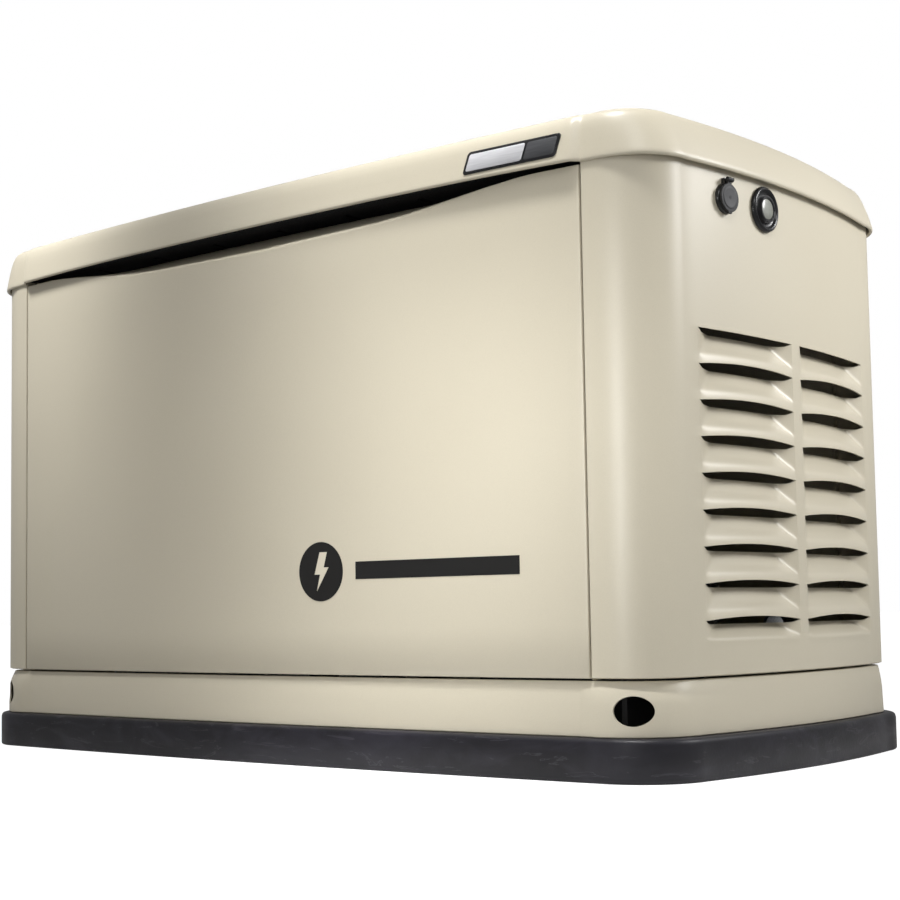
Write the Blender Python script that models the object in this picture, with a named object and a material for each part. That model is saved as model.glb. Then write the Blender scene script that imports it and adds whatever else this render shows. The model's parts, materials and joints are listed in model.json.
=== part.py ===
"""Home standby generator: an air-cooled V-twin set in a weatherproof aluminium enclosure.

Metres, +Z up. X runs along the length, the front faces -Y, and the origin is the centre of the
mounting pad's underside. Every named object is one separate piece of the machine.
"""

import math

import bmesh
import bpy
from mathutils import Matrix, Vector

# ---------------------------------------------------------------- driving dimensions
GAP = 0.0003  # clearance kept between pieces that touch
SHEET = 0.003  # enclosure wall

BOW_FRONT = 0.0153  # how far the front bulges over its corners
BOW_END = 0.0176  # how far each end bulges over its corners
CORNER_RADIUS = 0.0825

PAD_HALF_X, PAD_HALF_Y, PAD_HEIGHT = 0.609, 0.319, 0.047
WALL_HALF_X, WALL_HALF_Y = 0.597, 0.3085
TRAY_TOP = 0.107
PANEL_BOTTOM, PANEL_TOP = 0.1095, 0.6695
SEAM_X = 0.4915  # half the width of the removable front panel's opening
SEAM_GAP = 0.001

LID_HALF_X, LID_FRONT = 0.599, 0.3110
LID_LIP = 0.0080  # how far the lifting lip stands out of the lid's front
LID_BOTTOM, LID_EDGE, LID_TOP = 0.672, 0.7190, 0.732
LINER_BOTTOM = 0.6725

HINGE_Y, HINGE_Z, HINGE_RADIUS = 0.3135, 0.671, 0.0042
HINGE_HALF_LENGTH = 0.45

LOUVRE_TOP, LOUVRE_PITCH, LOUVRE_ROWS = 0.4898, 0.0401, 9
LOUVRE_SLIT = 0.008
LOUVRE_BOTTOM = 0.1435
LOUVRE_COLUMNS = ((-0.204, -0.017), (0.002, 0.200))

LOCK_Y, LIGHT_Y, FITTING_Z = -0.150, -0.0727, 0.640
LIFT_HOLE_X, LIFT_HOLE_Z, LIFT_HOLE_RADIUS = 0.534, 0.0755, 0.016

CRANK_Y, CRANK_Z = 0.020, 0.270
CYLINDER_ANGLE = math.radians(45)
FLOOR_Z = PAD_HEIGHT + GAP + SHEET + GAP  # the lowest level of anything standing in the tray


# ---------------------------------------------------------------- building blocks
def make_material(name, colour, roughness, metallic=0.0):
    mat = bpy.data.materials.new(name)
    mat.use_nodes = True
    shader = mat.node_tree.nodes["Principled BSDF"]
    shader.inputs["Base Color"].default_value = (*colour, 1.0)
    shader.inputs["Roughness"].default_value = roughness
    shader.inputs["Metallic"].default_value = metallic
    return mat


def add_object(name, bm, mat, parent=None, local=False):
    """Makes an object of a bmesh. Under a parent, world coordinates become local ones."""
    if parent is not None and not local:
        bm.transform(parent.matrix_basis.inverted())
    bmesh.ops.recalc_face_normals(bm, faces=bm.faces)
    mesh = bpy.data.meshes.new(name)
    bm.to_mesh(mesh)
    bm.free()
    obj = bpy.data.objects.new(name, mesh)
    bpy.context.scene.collection.objects.link(obj)
    obj.parent = parent
    if mat is not None:
        mesh.materials.append(mat)
    mesh.shade_smooth()
    mesh.set_sharp_from_angle(angle=math.radians(30))
    return obj


def add_helper(name, bm, parent=None, local=False):
    """A cutter, or a shape that a union joins to its piece. It is no piece by itself."""
    obj = add_object(name, bm, None, parent, local)
    obj.hide_render = True
    obj.display_type = "WIRE"
    return obj


def combine(obj, operation, bm, local=False):
    """Adds a Boolean of the bmesh's shape to the object."""
    modifier = obj.modifiers.new(operation.title(), "BOOLEAN")
    modifier.operation = operation
    modifier.solver = "EXACT"
    label = f"{obj.name}_{operation.lower()}_{len(obj.modifiers)}"
    modifier.object = add_helper(label, bm, obj.parent, local)


def add_axis(name, point, turn=0.0):
    """An empty on a joint's axis, or at a fitting's seat, turned about Z."""
    empty = bpy.data.objects.new(name, None)
    empty.matrix_basis = Matrix.Translation(point) @ Matrix.Rotation(turn, 4, "Z")
    bpy.context.scene.collection.objects.link(empty)
    return empty


def add_ring_walls(bm, rings, closed_rings=True, loop=False):
    """Faces between successive rings of points; open rows get end caps."""
    rows = [[bm.verts.new(p) for p in ring] for ring in rings]
    count = len(rows[0])
    pairs = list(zip(rows, rows[1:]))
    if loop:
        pairs.append((rows[-1], rows[0]))
    for low, high in pairs:
        for i in range(count if closed_rings else count - 1):
            j = (i + 1) % count
            bm.faces.new((low[i], low[j], high[j], high[i]))
    if not loop:
        bm.faces.new(rows[0])
        bm.faces.new(rows[-1])
    return rows


def add_box(bm, low, high):
    corners = [
        (x, y, z) for z in (low[2], high[2]) for x, y in
        ((low[0], low[1]), (high[0], low[1]), (high[0], high[1]), (low[0], high[1]))
    ]
    add_ring_walls(bm, (corners[:4], corners[4:]))


def box(low, high):
    bm = bmesh.new()
    add_box(bm, low, high)
    return bm


def bevelled_box(low, high, width, segments=2):
    bm = box(low, high)
    bmesh.ops.bevel(bm, geom=bm.edges[:], offset=width, segments=segments, profile=0.5, affect="EDGES")
    return bm


def prism(points, z_low, z_high):
    """A flat outline raised along Z."""
    bm = bmesh.new()
    add_ring_walls(bm, [[(x, y, z) for x, y in points] for z in (z_low, z_high)])
    return bm


def prism_along_x(points, x_low, x_high):
    """An outline in (y, z) carried along X."""
    bm = bmesh.new()
    add_ring_walls(bm, [[(x, y, z) for y, z in points] for x in (x_low, x_high)])
    return bm


def add_turned(bm, profile, centre, axis="X", steps=20, closed=False):
    """Turns a profile of (distance along the axis, radius) points round an axis through centre.

    An open profile starts and ends on the axis; a closed one is a ring's section."""
    points = list(profile)
    if not closed:
        points = [(points[0][0], 0.0), *points, (points[-1][0], 0.0)]
    verts = [bm.verts.new((along, radius, 0.0)) for along, radius in points]
    pairs = list(zip(verts, verts[1:])) + ([(verts[-1], verts[0])] if closed else [])
    edges = [bm.edges.new(pair) for pair in pairs]
    bmesh.ops.spin(
        bm, geom=verts + edges, cent=(0, 0, 0), axis=(1, 0, 0), angle=math.tau, steps=steps, use_merge=True
    )
    bmesh.ops.remove_doubles(bm, verts=bm.verts, dist=1e-6)
    turn = {
        "X": Matrix.Identity(4),
        "Y": Matrix.Rotation(math.pi / 2, 4, "Z"),
        "Z": Matrix.Rotation(-math.pi / 2, 4, "Y"),
    }[axis]
    bm.transform(Matrix.Translation(centre) @ turn)


def turned(profile, centre, axis="X", steps=20, closed=False):
    bm = bmesh.new()
    add_turned(bm, profile, centre, axis, steps, closed)
    return bm


def rod(radius, start, end, centre, axis="X", steps=20):
    """A plain cylinder from start to end along the axis, measured from centre."""
    return turned([(start, radius), (end, radius)], centre, axis, steps)


def merged(*parts):
    """Several shapes that don't meet, as one bmesh."""
    whole = bmesh.new()
    for part in parts:
        mesh = bpy.data.meshes.new("merged")
        part.to_mesh(mesh)
        part.free()
        whole.from_mesh(mesh)
        bpy.data.meshes.remove(mesh)
    return whole


def smooth_route(points, spacing):
    """Points about spacing apart on a smooth curve. Its first and last stretches are straight."""
    path = [Vector(p) for p in points]
    route = [path[0]]
    for a, b, c, d in zip(path, path[1:], path[2:], path[3:]):
        count = max(1, round((c - b).length / spacing))
        for step in range(count):
            t = step / count
            linear, square, cube = c - a, 2 * a - 5 * b + 4 * c - d, 3 * b - a - 3 * c + d
            route.append(0.5 * (2 * b + linear * t + square * t**2 + cube * t**3))
    return [*route, path[-2], path[-1]]


def add_tube(name, points, radius, mat, spacing, sides=2):
    """A round tube of bent pipe or hose along a smooth route."""
    curve = bpy.data.curves.new(name, "CURVE")
    curve.dimensions = "3D"
    curve.bevel_depth = radius
    curve.bevel_resolution = sides
    curve.use_fill_caps = True
    route = smooth_route(points, spacing)
    spline = curve.splines.new("POLY")
    spline.points.add(len(route) - 1)
    for target, point in zip(spline.points, route):
        target.co = (*point, 1.0)
    curve.materials.append(mat)
    obj = bpy.data.objects.new(name, curve)
    bpy.context.scene.collection.objects.link(obj)
    return obj


# ---------------------------------------------------------------- the bowed plan outline
CORNER_X = WALL_HALF_X - BOW_END - CORNER_RADIUS  # centre of the wall's corner arcs
END_MIDDLE = BOW_FRONT / 2  # the end bow's own centre: the rear is flat, so it sits off the middle
END_HALF = WALL_HALF_Y - CORNER_RADIUS - END_MIDDLE


def end_bow_x(y):
    """Outer X of the right end wall at the given Y."""
    return WALL_HALF_X - BOW_END * ((y - END_MIDDLE) / END_HALF) ** 2


def end_bow_turn(y):
    """Angle about Z from +X to the right end wall's outward normal."""
    return math.atan(2 * BOW_END * (y - END_MIDDLE) / END_HALF**2)


def front_bow_y(x):
    """Outer Y of the front wall at the given X."""
    return -WALL_HALF_Y + BOW_FRONT * (x / CORNER_X) ** 2


def plan_outline(half_x, front, rear, inset=0.0, lip=0.0, front_steps=8, corner_steps=6, end_steps=6):
    """Outline from above, counter-clockwise from the front left: bowed front, bowed ends, flat rear."""
    radius = CORNER_RADIUS - inset
    corner_x = half_x - BOW_END - CORNER_RADIUS
    corner_front = front - BOW_FRONT - CORNER_RADIUS
    corner_rear = rear - CORNER_RADIUS
    front_y = front - inset
    middle = (corner_rear - corner_front) / 2
    half_end = (corner_rear + corner_front) / 2
    points = []
    for i in range(front_steps + 1):
        share = 2 * i / front_steps - 1
        x = share * (corner_x - (0.003 if lip else 0.0))
        points.append((x, -front_y + BOW_FRONT * (x / corner_x) ** 2 - lip))

    def corner(x, y, start, first):
        for i in range(first, corner_steps + 1):
            angle = start + math.pi / 2 * i / corner_steps
            points.append((x + radius * math.cos(angle), y + radius * math.sin(angle)))

    def end(sign):
        for i in range(1, end_steps):
            share = 2 * i / end_steps - 1
            bow = BOW_END * share**2
            points.append((sign * (half_x - inset - bow), middle + sign * share * half_end))

    corner(corner_x, -corner_front, -math.pi / 2, 0 if lip else 1)
    end(1)
    corner(corner_x, corner_rear, 0.0, 0)
    corner(-corner_x, corner_rear, math.pi / 2, 0)
    end(-1)
    corner(-corner_x, -corner_front, math.pi, 0)
    if not lip:
        points.pop()
    return points


def wall_outline(inset=0.0):
    return plan_outline(WALL_HALF_X, WALL_HALF_Y, WALL_HALF_Y, inset)


def end_wall_path(inset):
    """The wall outline's stretch round the right end, from the front seam to the rear seam."""
    edge = SEAM_X + SEAM_GAP
    around = [p for p in wall_outline(inset) if p[0] > edge]
    first = (edge, front_bow_y(edge) + inset)
    return [first, *around, (edge, WALL_HALF_Y - inset)]


# ---------------------------------------------------------------- materials
def make_materials():
    return {
        "panel": make_material("panel", (0.72, 0.68, 0.58), 0.38),
        "pad": make_material("pad", (0.035, 0.035, 0.040), 0.55),
        "black": make_material("black", (0.02, 0.02, 0.022), 0.45),
        "rubber": make_material("rubber", (0.03, 0.03, 0.03), 0.8),
        "foam": make_material("foam", (0.10, 0.10, 0.11), 0.95),
        "lens": make_material("lens", (0.55, 0.58, 0.55), 0.3),
        "badge": make_material("badge", (0.62, 0.62, 0.64), 0.35, 0.6),
        "cast": make_material("cast", (0.55, 0.56, 0.57), 0.5, 0.9),
        "steel": make_material("steel", (0.50, 0.50, 0.50), 0.4, 1.0),
        "engine_black": make_material("engine_black", (0.03, 0.03, 0.03), 0.4),
        "copper": make_material("copper", (0.55, 0.27, 0.13), 0.4, 0.9),
        "yellow": make_material("yellow", (0.80, 0.60, 0.05), 0.45),
        "filter": make_material("filter", (0.75, 0.70, 0.45), 0.9),
        "red": make_material("red", (0.55, 0.03, 0.03), 0.5),
        "key_green": make_material("key_green", (0.05, 0.35, 0.12), 0.5),
        "key_blue": make_material("key_blue", (0.05, 0.12, 0.40), 0.5),
    }


# ---------------------------------------------------------------- pad and tray
def build_pad(mats):
    """Moulded composite slab with a chamfered rim and a ribbed, open underside."""
    rings = [
        [(x, y, z) for x, y in plan_outline(PAD_HALF_X, PAD_HALF_Y, PAD_HALF_Y, inset)]
        for z, inset in ((0.0, 0.0), (PAD_HEIGHT - 0.005, 0.0), (PAD_HEIGHT, 0.004))
    ]
    bm = bmesh.new()
    add_ring_walls(bm, rings)
    pad = add_object("mounting_pad", bm, mats["pad"])
    pocket_x, pocket_y, rib, deck = 0.270, 0.262, 0.014, 0.010
    pockets = bmesh.new()
    for column in range(-2, 2):
        left = column * (pocket_x + rib) + rib / 2
        for front in (-pocket_y - rib / 2, rib / 2):
            add_box(pockets, (left, front, -0.01), (left + pocket_x, front + pocket_y, PAD_HEIGHT - deck))
    combine(pad, "DIFFERENCE", pockets)


def build_tray(mats):
    """Folded base tray: floor, bowed side walls, an inward top flange and four lifting holes."""
    low = PAD_HEIGHT + GAP
    tray = add_object("base_tray", prism(wall_outline(), low, TRAY_TOP), mats["panel"])
    combine(tray, "DIFFERENCE", prism(wall_outline(SHEET), low + SHEET, TRAY_TOP - SHEET))
    combine(tray, "DIFFERENCE", prism(wall_outline(0.018), low + SHEET + 0.01, TRAY_TOP + 0.01))
    holes = merged(
        *(rod(LIFT_HOLE_RADIUS, -0.35, 0.35, (side * LIFT_HOLE_X, 0, LIFT_HOLE_Z), "Y") for side in (-1, 1))
    )
    combine(tray, "DIFFERENCE", holes)


# ---------------------------------------------------------------- end panels with louvres
def louvre_blades(side):
    """Sloping blades: each top edge is set back, each foot meets the wall over the next slit."""
    blades = bmesh.new()
    for first, last in LOUVRE_COLUMNS:
        stations = [first - 0.0015 + i * (last - first + 0.003) / 3 for i in range(4)]
        for row in range(LOUVRE_ROWS):
            top = LOUVRE_TOP - row * LOUVRE_PITCH - LOUVRE_SLIT
            foot = max(LOUVRE_TOP - (row + 1) * LOUVRE_PITCH, LOUVRE_BOTTOM - 0.0015)
            rings = []
            for y in stations:
                wall = end_bow_x(y)
                section = (
                    (wall - 0.0120, top), (wall - 0.0010, foot), (wall - 0.0035, foot), (wall - 0.0145, top)
                )
                rings.append([(side * x, y, z) for x, z in section])
            add_ring_walls(blades, rings)
    return blades


def louvre_frame(side):
    """Cheeks at both sides of each column of blades."""
    cheek, depth = 0.003, 0.0165
    high, low = LOUVRE_TOP + 0.002, LOUVRE_BOTTOM - 0.003
    frame = bmesh.new()
    for first, last in LOUVRE_COLUMNS:
        for y_low, y_high in ((first - cheek, first), (last, last + cheek)):
            wall = min(end_bow_x(y_low), end_bow_x(y_high)) - 0.0012
            near, far = sorted((side * (wall - depth), side * wall))
            add_box(frame, (near, y_low, low), (far, y_high, high))
    return frame


def build_end_panel(name, side, mats):
    """One end of the enclosure: it wraps both corners, with flanges in at the top and the foot."""
    flange = 0.016
    section = (
        (0.0, PANEL_BOTTOM), (0.0, PANEL_TOP), (flange, PANEL_TOP), (flange, PANEL_TOP - SHEET),
        (SHEET, PANEL_TOP - SHEET), (SHEET, PANEL_BOTTOM + SHEET), (flange, PANEL_BOTTOM + SHEET),
        (flange, PANEL_BOTTOM),
    )
    paths = {inset: end_wall_path(inset) for inset in (0.0, SHEET, flange)}
    rings = [
        [(side * paths[inset][i][0], paths[inset][i][1], z) for inset, z in section]
        for i in range(len(paths[0.0]))
    ]
    bm = bmesh.new()
    add_ring_walls(bm, rings)
    panel = add_object(name, bm, mats["panel"])
    windows = bmesh.new()
    for first, last in LOUVRE_COLUMNS:
        near, far = sorted((side * 0.55, side * 0.65))
        add_box(windows, (near, first, LOUVRE_BOTTOM), (far, last, LOUVRE_TOP))
    combine(panel, "DIFFERENCE", windows)
    combine(panel, "UNION", louvre_frame(side))
    combine(panel, "UNION", louvre_blades(side))
    fittings = [rod(0.0119, -0.05, 0.05, (side * end_bow_x(LOCK_Y), LOCK_Y, FITTING_Z))]
    if side > 0:
        fittings.append(rod(0.0165, -0.05, 0.05, (end_bow_x(LIGHT_Y), LIGHT_Y, FITTING_Z)))
    combine(panel, "DIFFERENCE", merged(*fittings))


# ---------------------------------------------------------------- front and rear panels
def scoop_start(x):
    """Height where the front panel's top starts to roll inwards to leave room for fingers."""
    share = min(1.0, max(0.0, (abs(x) - 0.28) / 0.15))
    return 0.645 + 0.0205 * share * share * (3 - 2 * share)


def build_front_panel(mats, axis):
    """Removable access panel: bowed sheet with a rolled top that is deepest in the middle."""
    half, steps, arc_steps = SEAM_X - SEAM_GAP, 20, 4
    thick, hem, shelf = 0.0025, 0.018, 0.045
    rings = []
    for i in range(steps + 1):
        x = half * (2 * i / steps - 1)
        face, start = front_bow_y(x), scoop_start(x)
        radius = PANEL_TOP - start
        outer, inner = [], []
        for j in range(arc_steps + 1):
            angle = math.pi / 2 * j / arc_steps
            outer.append((radius * (1 - math.cos(angle)), start + radius * math.sin(angle)))
            small = radius - thick
            inner.append((radius - small * math.cos(angle), start + small * math.sin(angle)))
        section = [
            (hem, PANEL_BOTTOM), (0.0, PANEL_BOTTOM), *outer, (shelf, PANEL_TOP),
            (shelf, PANEL_TOP - thick), *reversed(inner), (thick, PANEL_BOTTOM + thick),
            (hem, PANEL_BOTTOM + thick),
        ]
        rings.append([(x, face + depth, z) for depth, z in section])
    bm = bmesh.new()
    add_ring_walls(bm, rings)
    add_object("front_panel", bm, mats["panel"], axis)


def build_rear_panel(mats):
    """Flat rear sheet with folded edges, and holes for the gas inlet and the cable hub."""
    half, fold = SEAM_X - SEAM_GAP, 0.020
    outer, inner = WALL_HALF_Y, WALL_HALF_Y - SHEET
    section = (
        (outer, PANEL_BOTTOM), (outer, PANEL_TOP), (outer - fold, PANEL_TOP), (outer - fold, PANEL_TOP - SHEET),
        (inner, PANEL_TOP - SHEET), (inner, PANEL_BOTTOM + SHEET), (outer - fold, PANEL_BOTTOM + SHEET),
        (outer - fold, PANEL_BOTTOM),
    )
    panel = add_object("rear_panel", prism_along_x(section, -half, half), mats["panel"])
    holes = merged(
        rod(0.0150, 0.25, 0.35, (GAS_X, 0, GAS_Z), "Y", 16), rod(0.0185, 0.25, 0.35, (HUB_X, 0, HUB_Z), "Y", 16)
    )
    combine(panel, "DIFFERENCE", holes)


def build_divider(mats):
    """Sheet wall between the engine bay and the hot silencer bay, with a hole for each pipe."""
    wall = box((DIVIDER_X, -0.280, FLOOR_Z), (DIVIDER_X + SHEET, 0.280, 0.655))
    wall = add_object("divider_wall", wall, mats["steel"])
    holes = merged(*(rod(0.023, -0.02, 0.02, (DIVIDER_X, y, PORT_Z), "X", 14) for y in PORT_YS))
    combine(wall, "DIFFERENCE", holes)


# ---------------------------------------------------------------- lid and its hinge
LID_RINGS = (  # height, inset of the ends, inset of the front and rear
    (LID_BOTTOM, 0.0, 0.0), (LID_EDGE - 0.004, 0.014, 0.0095), (LID_EDGE + 0.005, 0.022, 0.0165),
    (LID_EDGE + 0.0095, 0.034, 0.028), (LID_TOP, 0.200, 0.150),
)


def lid_ring(height, end_inset, front_inset, lip):
    outline = plan_outline(
        LID_HALF_X - end_inset, LID_FRONT - front_inset, WALL_HALF_Y - front_inset, lip=max(lip, 1e-4),
        front_steps=8, corner_steps=5,
    )
    return [(x, y, height) for x, y in outline]


def build_lid(mats, axis):
    """Bowed lid shell with a lifting lip along the front, and the foam liner under it."""
    lips = (LID_LIP, LID_LIP, 0.005, 0.0, 0.0)
    bm = bmesh.new()
    rows = add_ring_walls(bm, [lid_ring(*ring, lip) for ring, lip in zip(LID_RINGS, lips)])
    bottom = next(f for f in bm.faces if set(f.verts) == set(rows[0]))
    bmesh.ops.delete(bm, geom=[bottom], context="FACES_ONLY")
    shell = add_object("lid_shell", bm, mats["panel"], axis)
    thicken = shell.modifiers.new("Wall", "SOLIDIFY")
    thicken.thickness = 0.0025
    thicken.offset = -1.0
    thicken.use_even_offset = True
    liner = plan_outline(0.585, 0.3015, 0.2985, inset=0.004, front_steps=4, corner_steps=4, end_steps=4)
    add_object("lid_liner", prism(liner, LINER_BOTTOM, 0.6950), mats["foam"], axis)


def build_badge(mats, axis):
    """Blank two-field badge plate bent to the lid's lip."""
    left, right, low, high, lean, thick = 0.347, 0.475, 0.6790, 0.7045, 0.0075, 0.0015
    slope = 0.0095 / (LID_EDGE - 0.004 - LID_BOTTOM)

    def face_y(x, z):
        corner_x = LID_HALF_X - BOW_END - CORNER_RADIUS
        bow = BOW_FRONT * (x / corner_x) ** 2
        return -LID_FRONT - LID_LIP + bow + (z - LID_BOTTOM) * slope - 0.0008

    rings = []
    for i in range(5):
        ring = []
        for z, out in ((low, 0.0), (high, 0.0), (high, thick), (low, thick)):
            x = left + i * (right - left) / 4 + lean * (z - low) / (high - low)
            ring.append((x, face_y(x, z) - out, z))
        rings.append(ring)
    bm = bmesh.new()
    add_ring_walls(bm, rings)
    add_object("lid_badge", bm, mats["badge"], axis)


def build_hinge(mats, axis):
    """Continuous hinge along the rear: a leaf on the rear panel, a wing on the lid and a pin."""
    knuckles = 9
    pitch = 2 * HINGE_HALF_LENGTH / knuckles
    bore = 0.0022
    back = WALL_HALF_Y + GAP

    def knuckle_set(first):
        parts = []
        for i in range(first, knuckles, 2):
            start = -HINGE_HALF_LENGTH + i * pitch + GAP
            section = [(start, bore), (start, HINGE_RADIUS), (start + pitch - 2 * GAP, HINGE_RADIUS)]
            section.append((start + pitch - 2 * GAP, bore))
            parts.append(turned(section, (0, HINGE_Y, HINGE_Z), "X", 10, closed=True))
        return merged(*parts)

    leaf = box((-HINGE_HALF_LENGTH, back, 0.640), (HINGE_HALF_LENGTH, back + 0.0015, HINGE_Z - 0.001))
    leaf = add_object("hinge_leaf", leaf, mats["steel"])
    gaps = bmesh.new()
    for i in range(1, knuckles, 2):
        start = -HINGE_HALF_LENGTH + i * pitch - GAP
        add_box(gaps, (start, 0.30, HINGE_Z - 0.0055), (start + pitch + 2 * GAP, 0.32, HINGE_Z + 0.01))
    combine(leaf, "DIFFERENCE", gaps)
    combine(leaf, "UNION", knuckle_set(0))
    wing = box((-HINGE_HALF_LENGTH + pitch, back, HINGE_Z), (HINGE_HALF_LENGTH - pitch, back + 0.0015, 0.680))
    wing = add_object("hinge_wing", wing, mats["steel"], axis)
    gaps = bmesh.new()
    for i in range(2, knuckles - 1, 2):
        start = -HINGE_HALF_LENGTH + i * pitch - GAP
        add_box(gaps, (start, 0.30, HINGE_Z - 0.01), (start + pitch + 2 * GAP, 0.32, HINGE_Z + 0.0055))
    combine(wing, "DIFFERENCE", gaps)
    combine(wing, "UNION", knuckle_set(1))
    pin = rod(0.0018, -HINGE_HALF_LENGTH - 0.004, HINGE_HALF_LENGTH + 0.004, (0, HINGE_Y, HINGE_Z), "X", 10)
    add_object("hinge_pin", pin, mats["steel"])


# ---------------------------------------------------------------- side locks and status light
def build_lock(label, side, mats, lid_axis):
    """Quarter-turn lock through an end wall. Its frame's +X points out of the wall."""
    wall = Vector((side * end_bow_x(LOCK_Y), LOCK_Y, FITTING_Z))
    turn = end_bow_turn(LOCK_Y) if side > 0 else math.pi - end_bow_turn(LOCK_Y)
    seat = add_axis(f"lock_axis_{label}", wall, turn)
    body = [
        (0.0006, 0.0185), (0.0085, 0.0175), (0.0085, 0.0075), (-0.024, 0.0075), (-0.024, 0.0110),
        (0.0006, 0.0110),
    ]
    body = turned(body, (0, 0, 0), closed=True)
    body = add_object(f"lock_body_{label}", body, mats["black"], seat, local=True)
    combine(body, "UNION", box((0.0009, -0.0065, 0.0150), (0.0088, 0.0065, 0.0240)), local=True)
    barrel = rod(0.0068, -0.031, 0.0065, (0, 0, 0), steps=16)
    barrel = add_object(f"lock_barrel_{label}", barrel, mats["steel"], seat, local=True)
    combine(barrel, "UNION", box((-0.0305, -0.0045, -0.004), (-0.0275, 0.0045, 0.024)), local=True)
    hinge = add_axis(f"lock_cap_axis_{label}", seat.matrix_basis @ Vector((0.0125, 0, 0.0205)), turn)
    cap = rod(0.0172, -0.0036, 0.0, (0, 0, -0.0205), steps=20)
    cap = add_object(f"lock_cap_{label}", cap, mats["rubber"], hinge, local=True)
    combine(cap, "UNION", box((-0.0034, -0.0050, -0.007), (-0.0002, 0.0050, 0.0)), local=True)
    combine(cap, "UNION", rod(0.0030, -0.0060, 0.0060, (0, 0, 0), "Y", 10), local=True)
    combine(cap, "UNION", box((-0.0032, -0.0045, -0.0410), (-0.0004, 0.0045, -0.035)), local=True)
    near, far = sorted((side * 0.550, side * 0.570))
    catch = add_object(
        f"lid_catch_{label}", box((near, -0.119, 0.628), (far, -0.1165, 0.6722)), mats["steel"], lid_axis
    )
    combine(catch, "UNION", box((near + 1e-4, -0.139, 0.628), (far - 1e-4, -0.118, 0.6303)))
    combine(catch, "UNION", box((near + 1e-4, -0.118, 0.6699), (far - 1e-4, -0.092, 0.6721)))


def build_status_light(mats):
    """Round status light on the right end: a stepped bezel and a translucent lens."""
    seat = add_axis("light_axis", (end_bow_x(LIGHT_Y), LIGHT_Y, FITTING_Z), end_bow_turn(LIGHT_Y))
    bezel = [
        (0.0006, 0.0265), (0.0045, 0.0255), (0.0045, 0.0215), (0.0022, 0.0205), (0.0022, 0.0160),
        (0.0070, 0.0150), (0.0070, 0.0127), (-0.014, 0.0127), (-0.014, 0.0155), (0.0006, 0.0155),
    ]
    add_object("status_bezel", turned(bezel, (0, 0, 0), closed=True, steps=24), mats["black"], seat, local=True)
    lens = [(-0.010, 0.0123), (0.0052, 0.0123), (0.0062, 0.0100), (0.0066, 0.0050)]
    add_object("status_lens", turned(lens, (0, 0, 0), steps=24), mats["lens"], seat, local=True)


# ---------------------------------------------------------------- engine
ENGINE_LEFT, ENGINE_RIGHT = -0.150, 0.075
CYLINDERS = (("front", -1, -0.065), ("rear", 1, -0.015))
DECK, HEAD, COVER = 0.0853, 0.205, 0.250  # distances from the crank axis
PORT_DISTANCE = 0.228
PORT_Z = CRANK_Z + PORT_DISTANCE * math.cos(CYLINDER_ANGLE)
PORT_YS = tuple(CRANK_Y + sign * PORT_DISTANCE * math.sin(CYLINDER_ANGLE) for sign in (-1, 1))
DIVIDER_X = -0.310
GAS_X, GAS_Z = 0.300, 0.190
HUB_X, HUB_Z = 0.410, 0.160
STATOR_LEFT, STATOR_RIGHT = 0.105, 0.265
STATOR_RADIUS, STATOR_BORE = 0.118, 0.0885


def build_crankcase(mats):
    """Cast case with V decks, a bored crank tunnel, the alternator adaptor and the dipstick tube."""
    half = 0.0600
    deck = DECK - GAP
    lean = math.sin(CYLINDER_ANGLE)
    inner = (deck - half) * lean
    outer = (deck + half) * lean
    section = [
        (CRANK_Y - 0.090, CRANK_Z - 0.150), (CRANK_Y + 0.090, CRANK_Z - 0.150),
        (CRANK_Y + outer, CRANK_Z - 0.135), (CRANK_Y + outer, CRANK_Z + inner),
        (CRANK_Y + inner, CRANK_Z + outer), (CRANK_Y - inner, CRANK_Z + outer),
        (CRANK_Y - outer, CRANK_Z + inner), (CRANK_Y - outer, CRANK_Z - 0.135),
    ]
    case = add_object("crankcase", prism_along_x(section, ENGINE_LEFT, ENGINE_RIGHT), mats["cast"])
    centre = (0, CRANK_Y, CRANK_Z)
    combine(case, "UNION", rod(STATOR_RADIUS - 0.001, ENGINE_RIGHT - 0.01, STATOR_LEFT - GAP, centre, steps=20))
    combine(case, "UNION", rod(0.0100, -0.02, DIPSTICK_TOP - CRANK_Z, DIPSTICK_FOOT, "Z", 12))
    shoulder = ENGINE_RIGHT - 0.001
    bore = [
        (ENGINE_LEFT - 0.01, 0.0300), (shoulder, 0.0300), (shoulder, STATOR_BORE),
        (STATOR_LEFT + 0.01, STATOR_BORE),
    ]
    combine(case, "DIFFERENCE", turned(bore, centre, steps=18))
    combine(case, "DIFFERENCE", rod(0.0060, -0.015, 0.15, DIPSTICK_FOOT, "Z", 12))


DIPSTICK_FOOT = (0.045, CRANK_Y - 0.1100, CRANK_Z)
DIPSTICK_TOP = CRANK_Z + 0.075


def build_dipstick(mats, axis):
    """Blade in its tube, with a collar and a pull ring."""
    x, y, _ = DIPSTICK_FOOT
    stick = rod(0.0030, CRANK_Z - 0.012, DIPSTICK_TOP + 0.004, (x, y, 0), "Z", 10)
    stick = add_object("dipstick", stick, mats["yellow"], axis)
    combine(stick, "UNION", rod(0.0095, DIPSTICK_TOP + GAP, DIPSTICK_TOP + 0.010, (x, y, 0), "Z", 12))
    grip = turned(
        [(-0.003, 0.009), (-0.003, 0.015), (0.003, 0.015), (0.003, 0.009)],
        (x, y, DIPSTICK_TOP + 0.0235), "Y", 14, closed=True,
    )
    combine(stick, "UNION", grip)


def cylinder_frame(sign, x):
    """Places +Z along a cylinder's axis, from the crank axis."""
    return Matrix.Translation((x, CRANK_Y, CRANK_Z)) @ Matrix.Rotation(-sign * CYLINDER_ANGLE, 4, "X")


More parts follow.
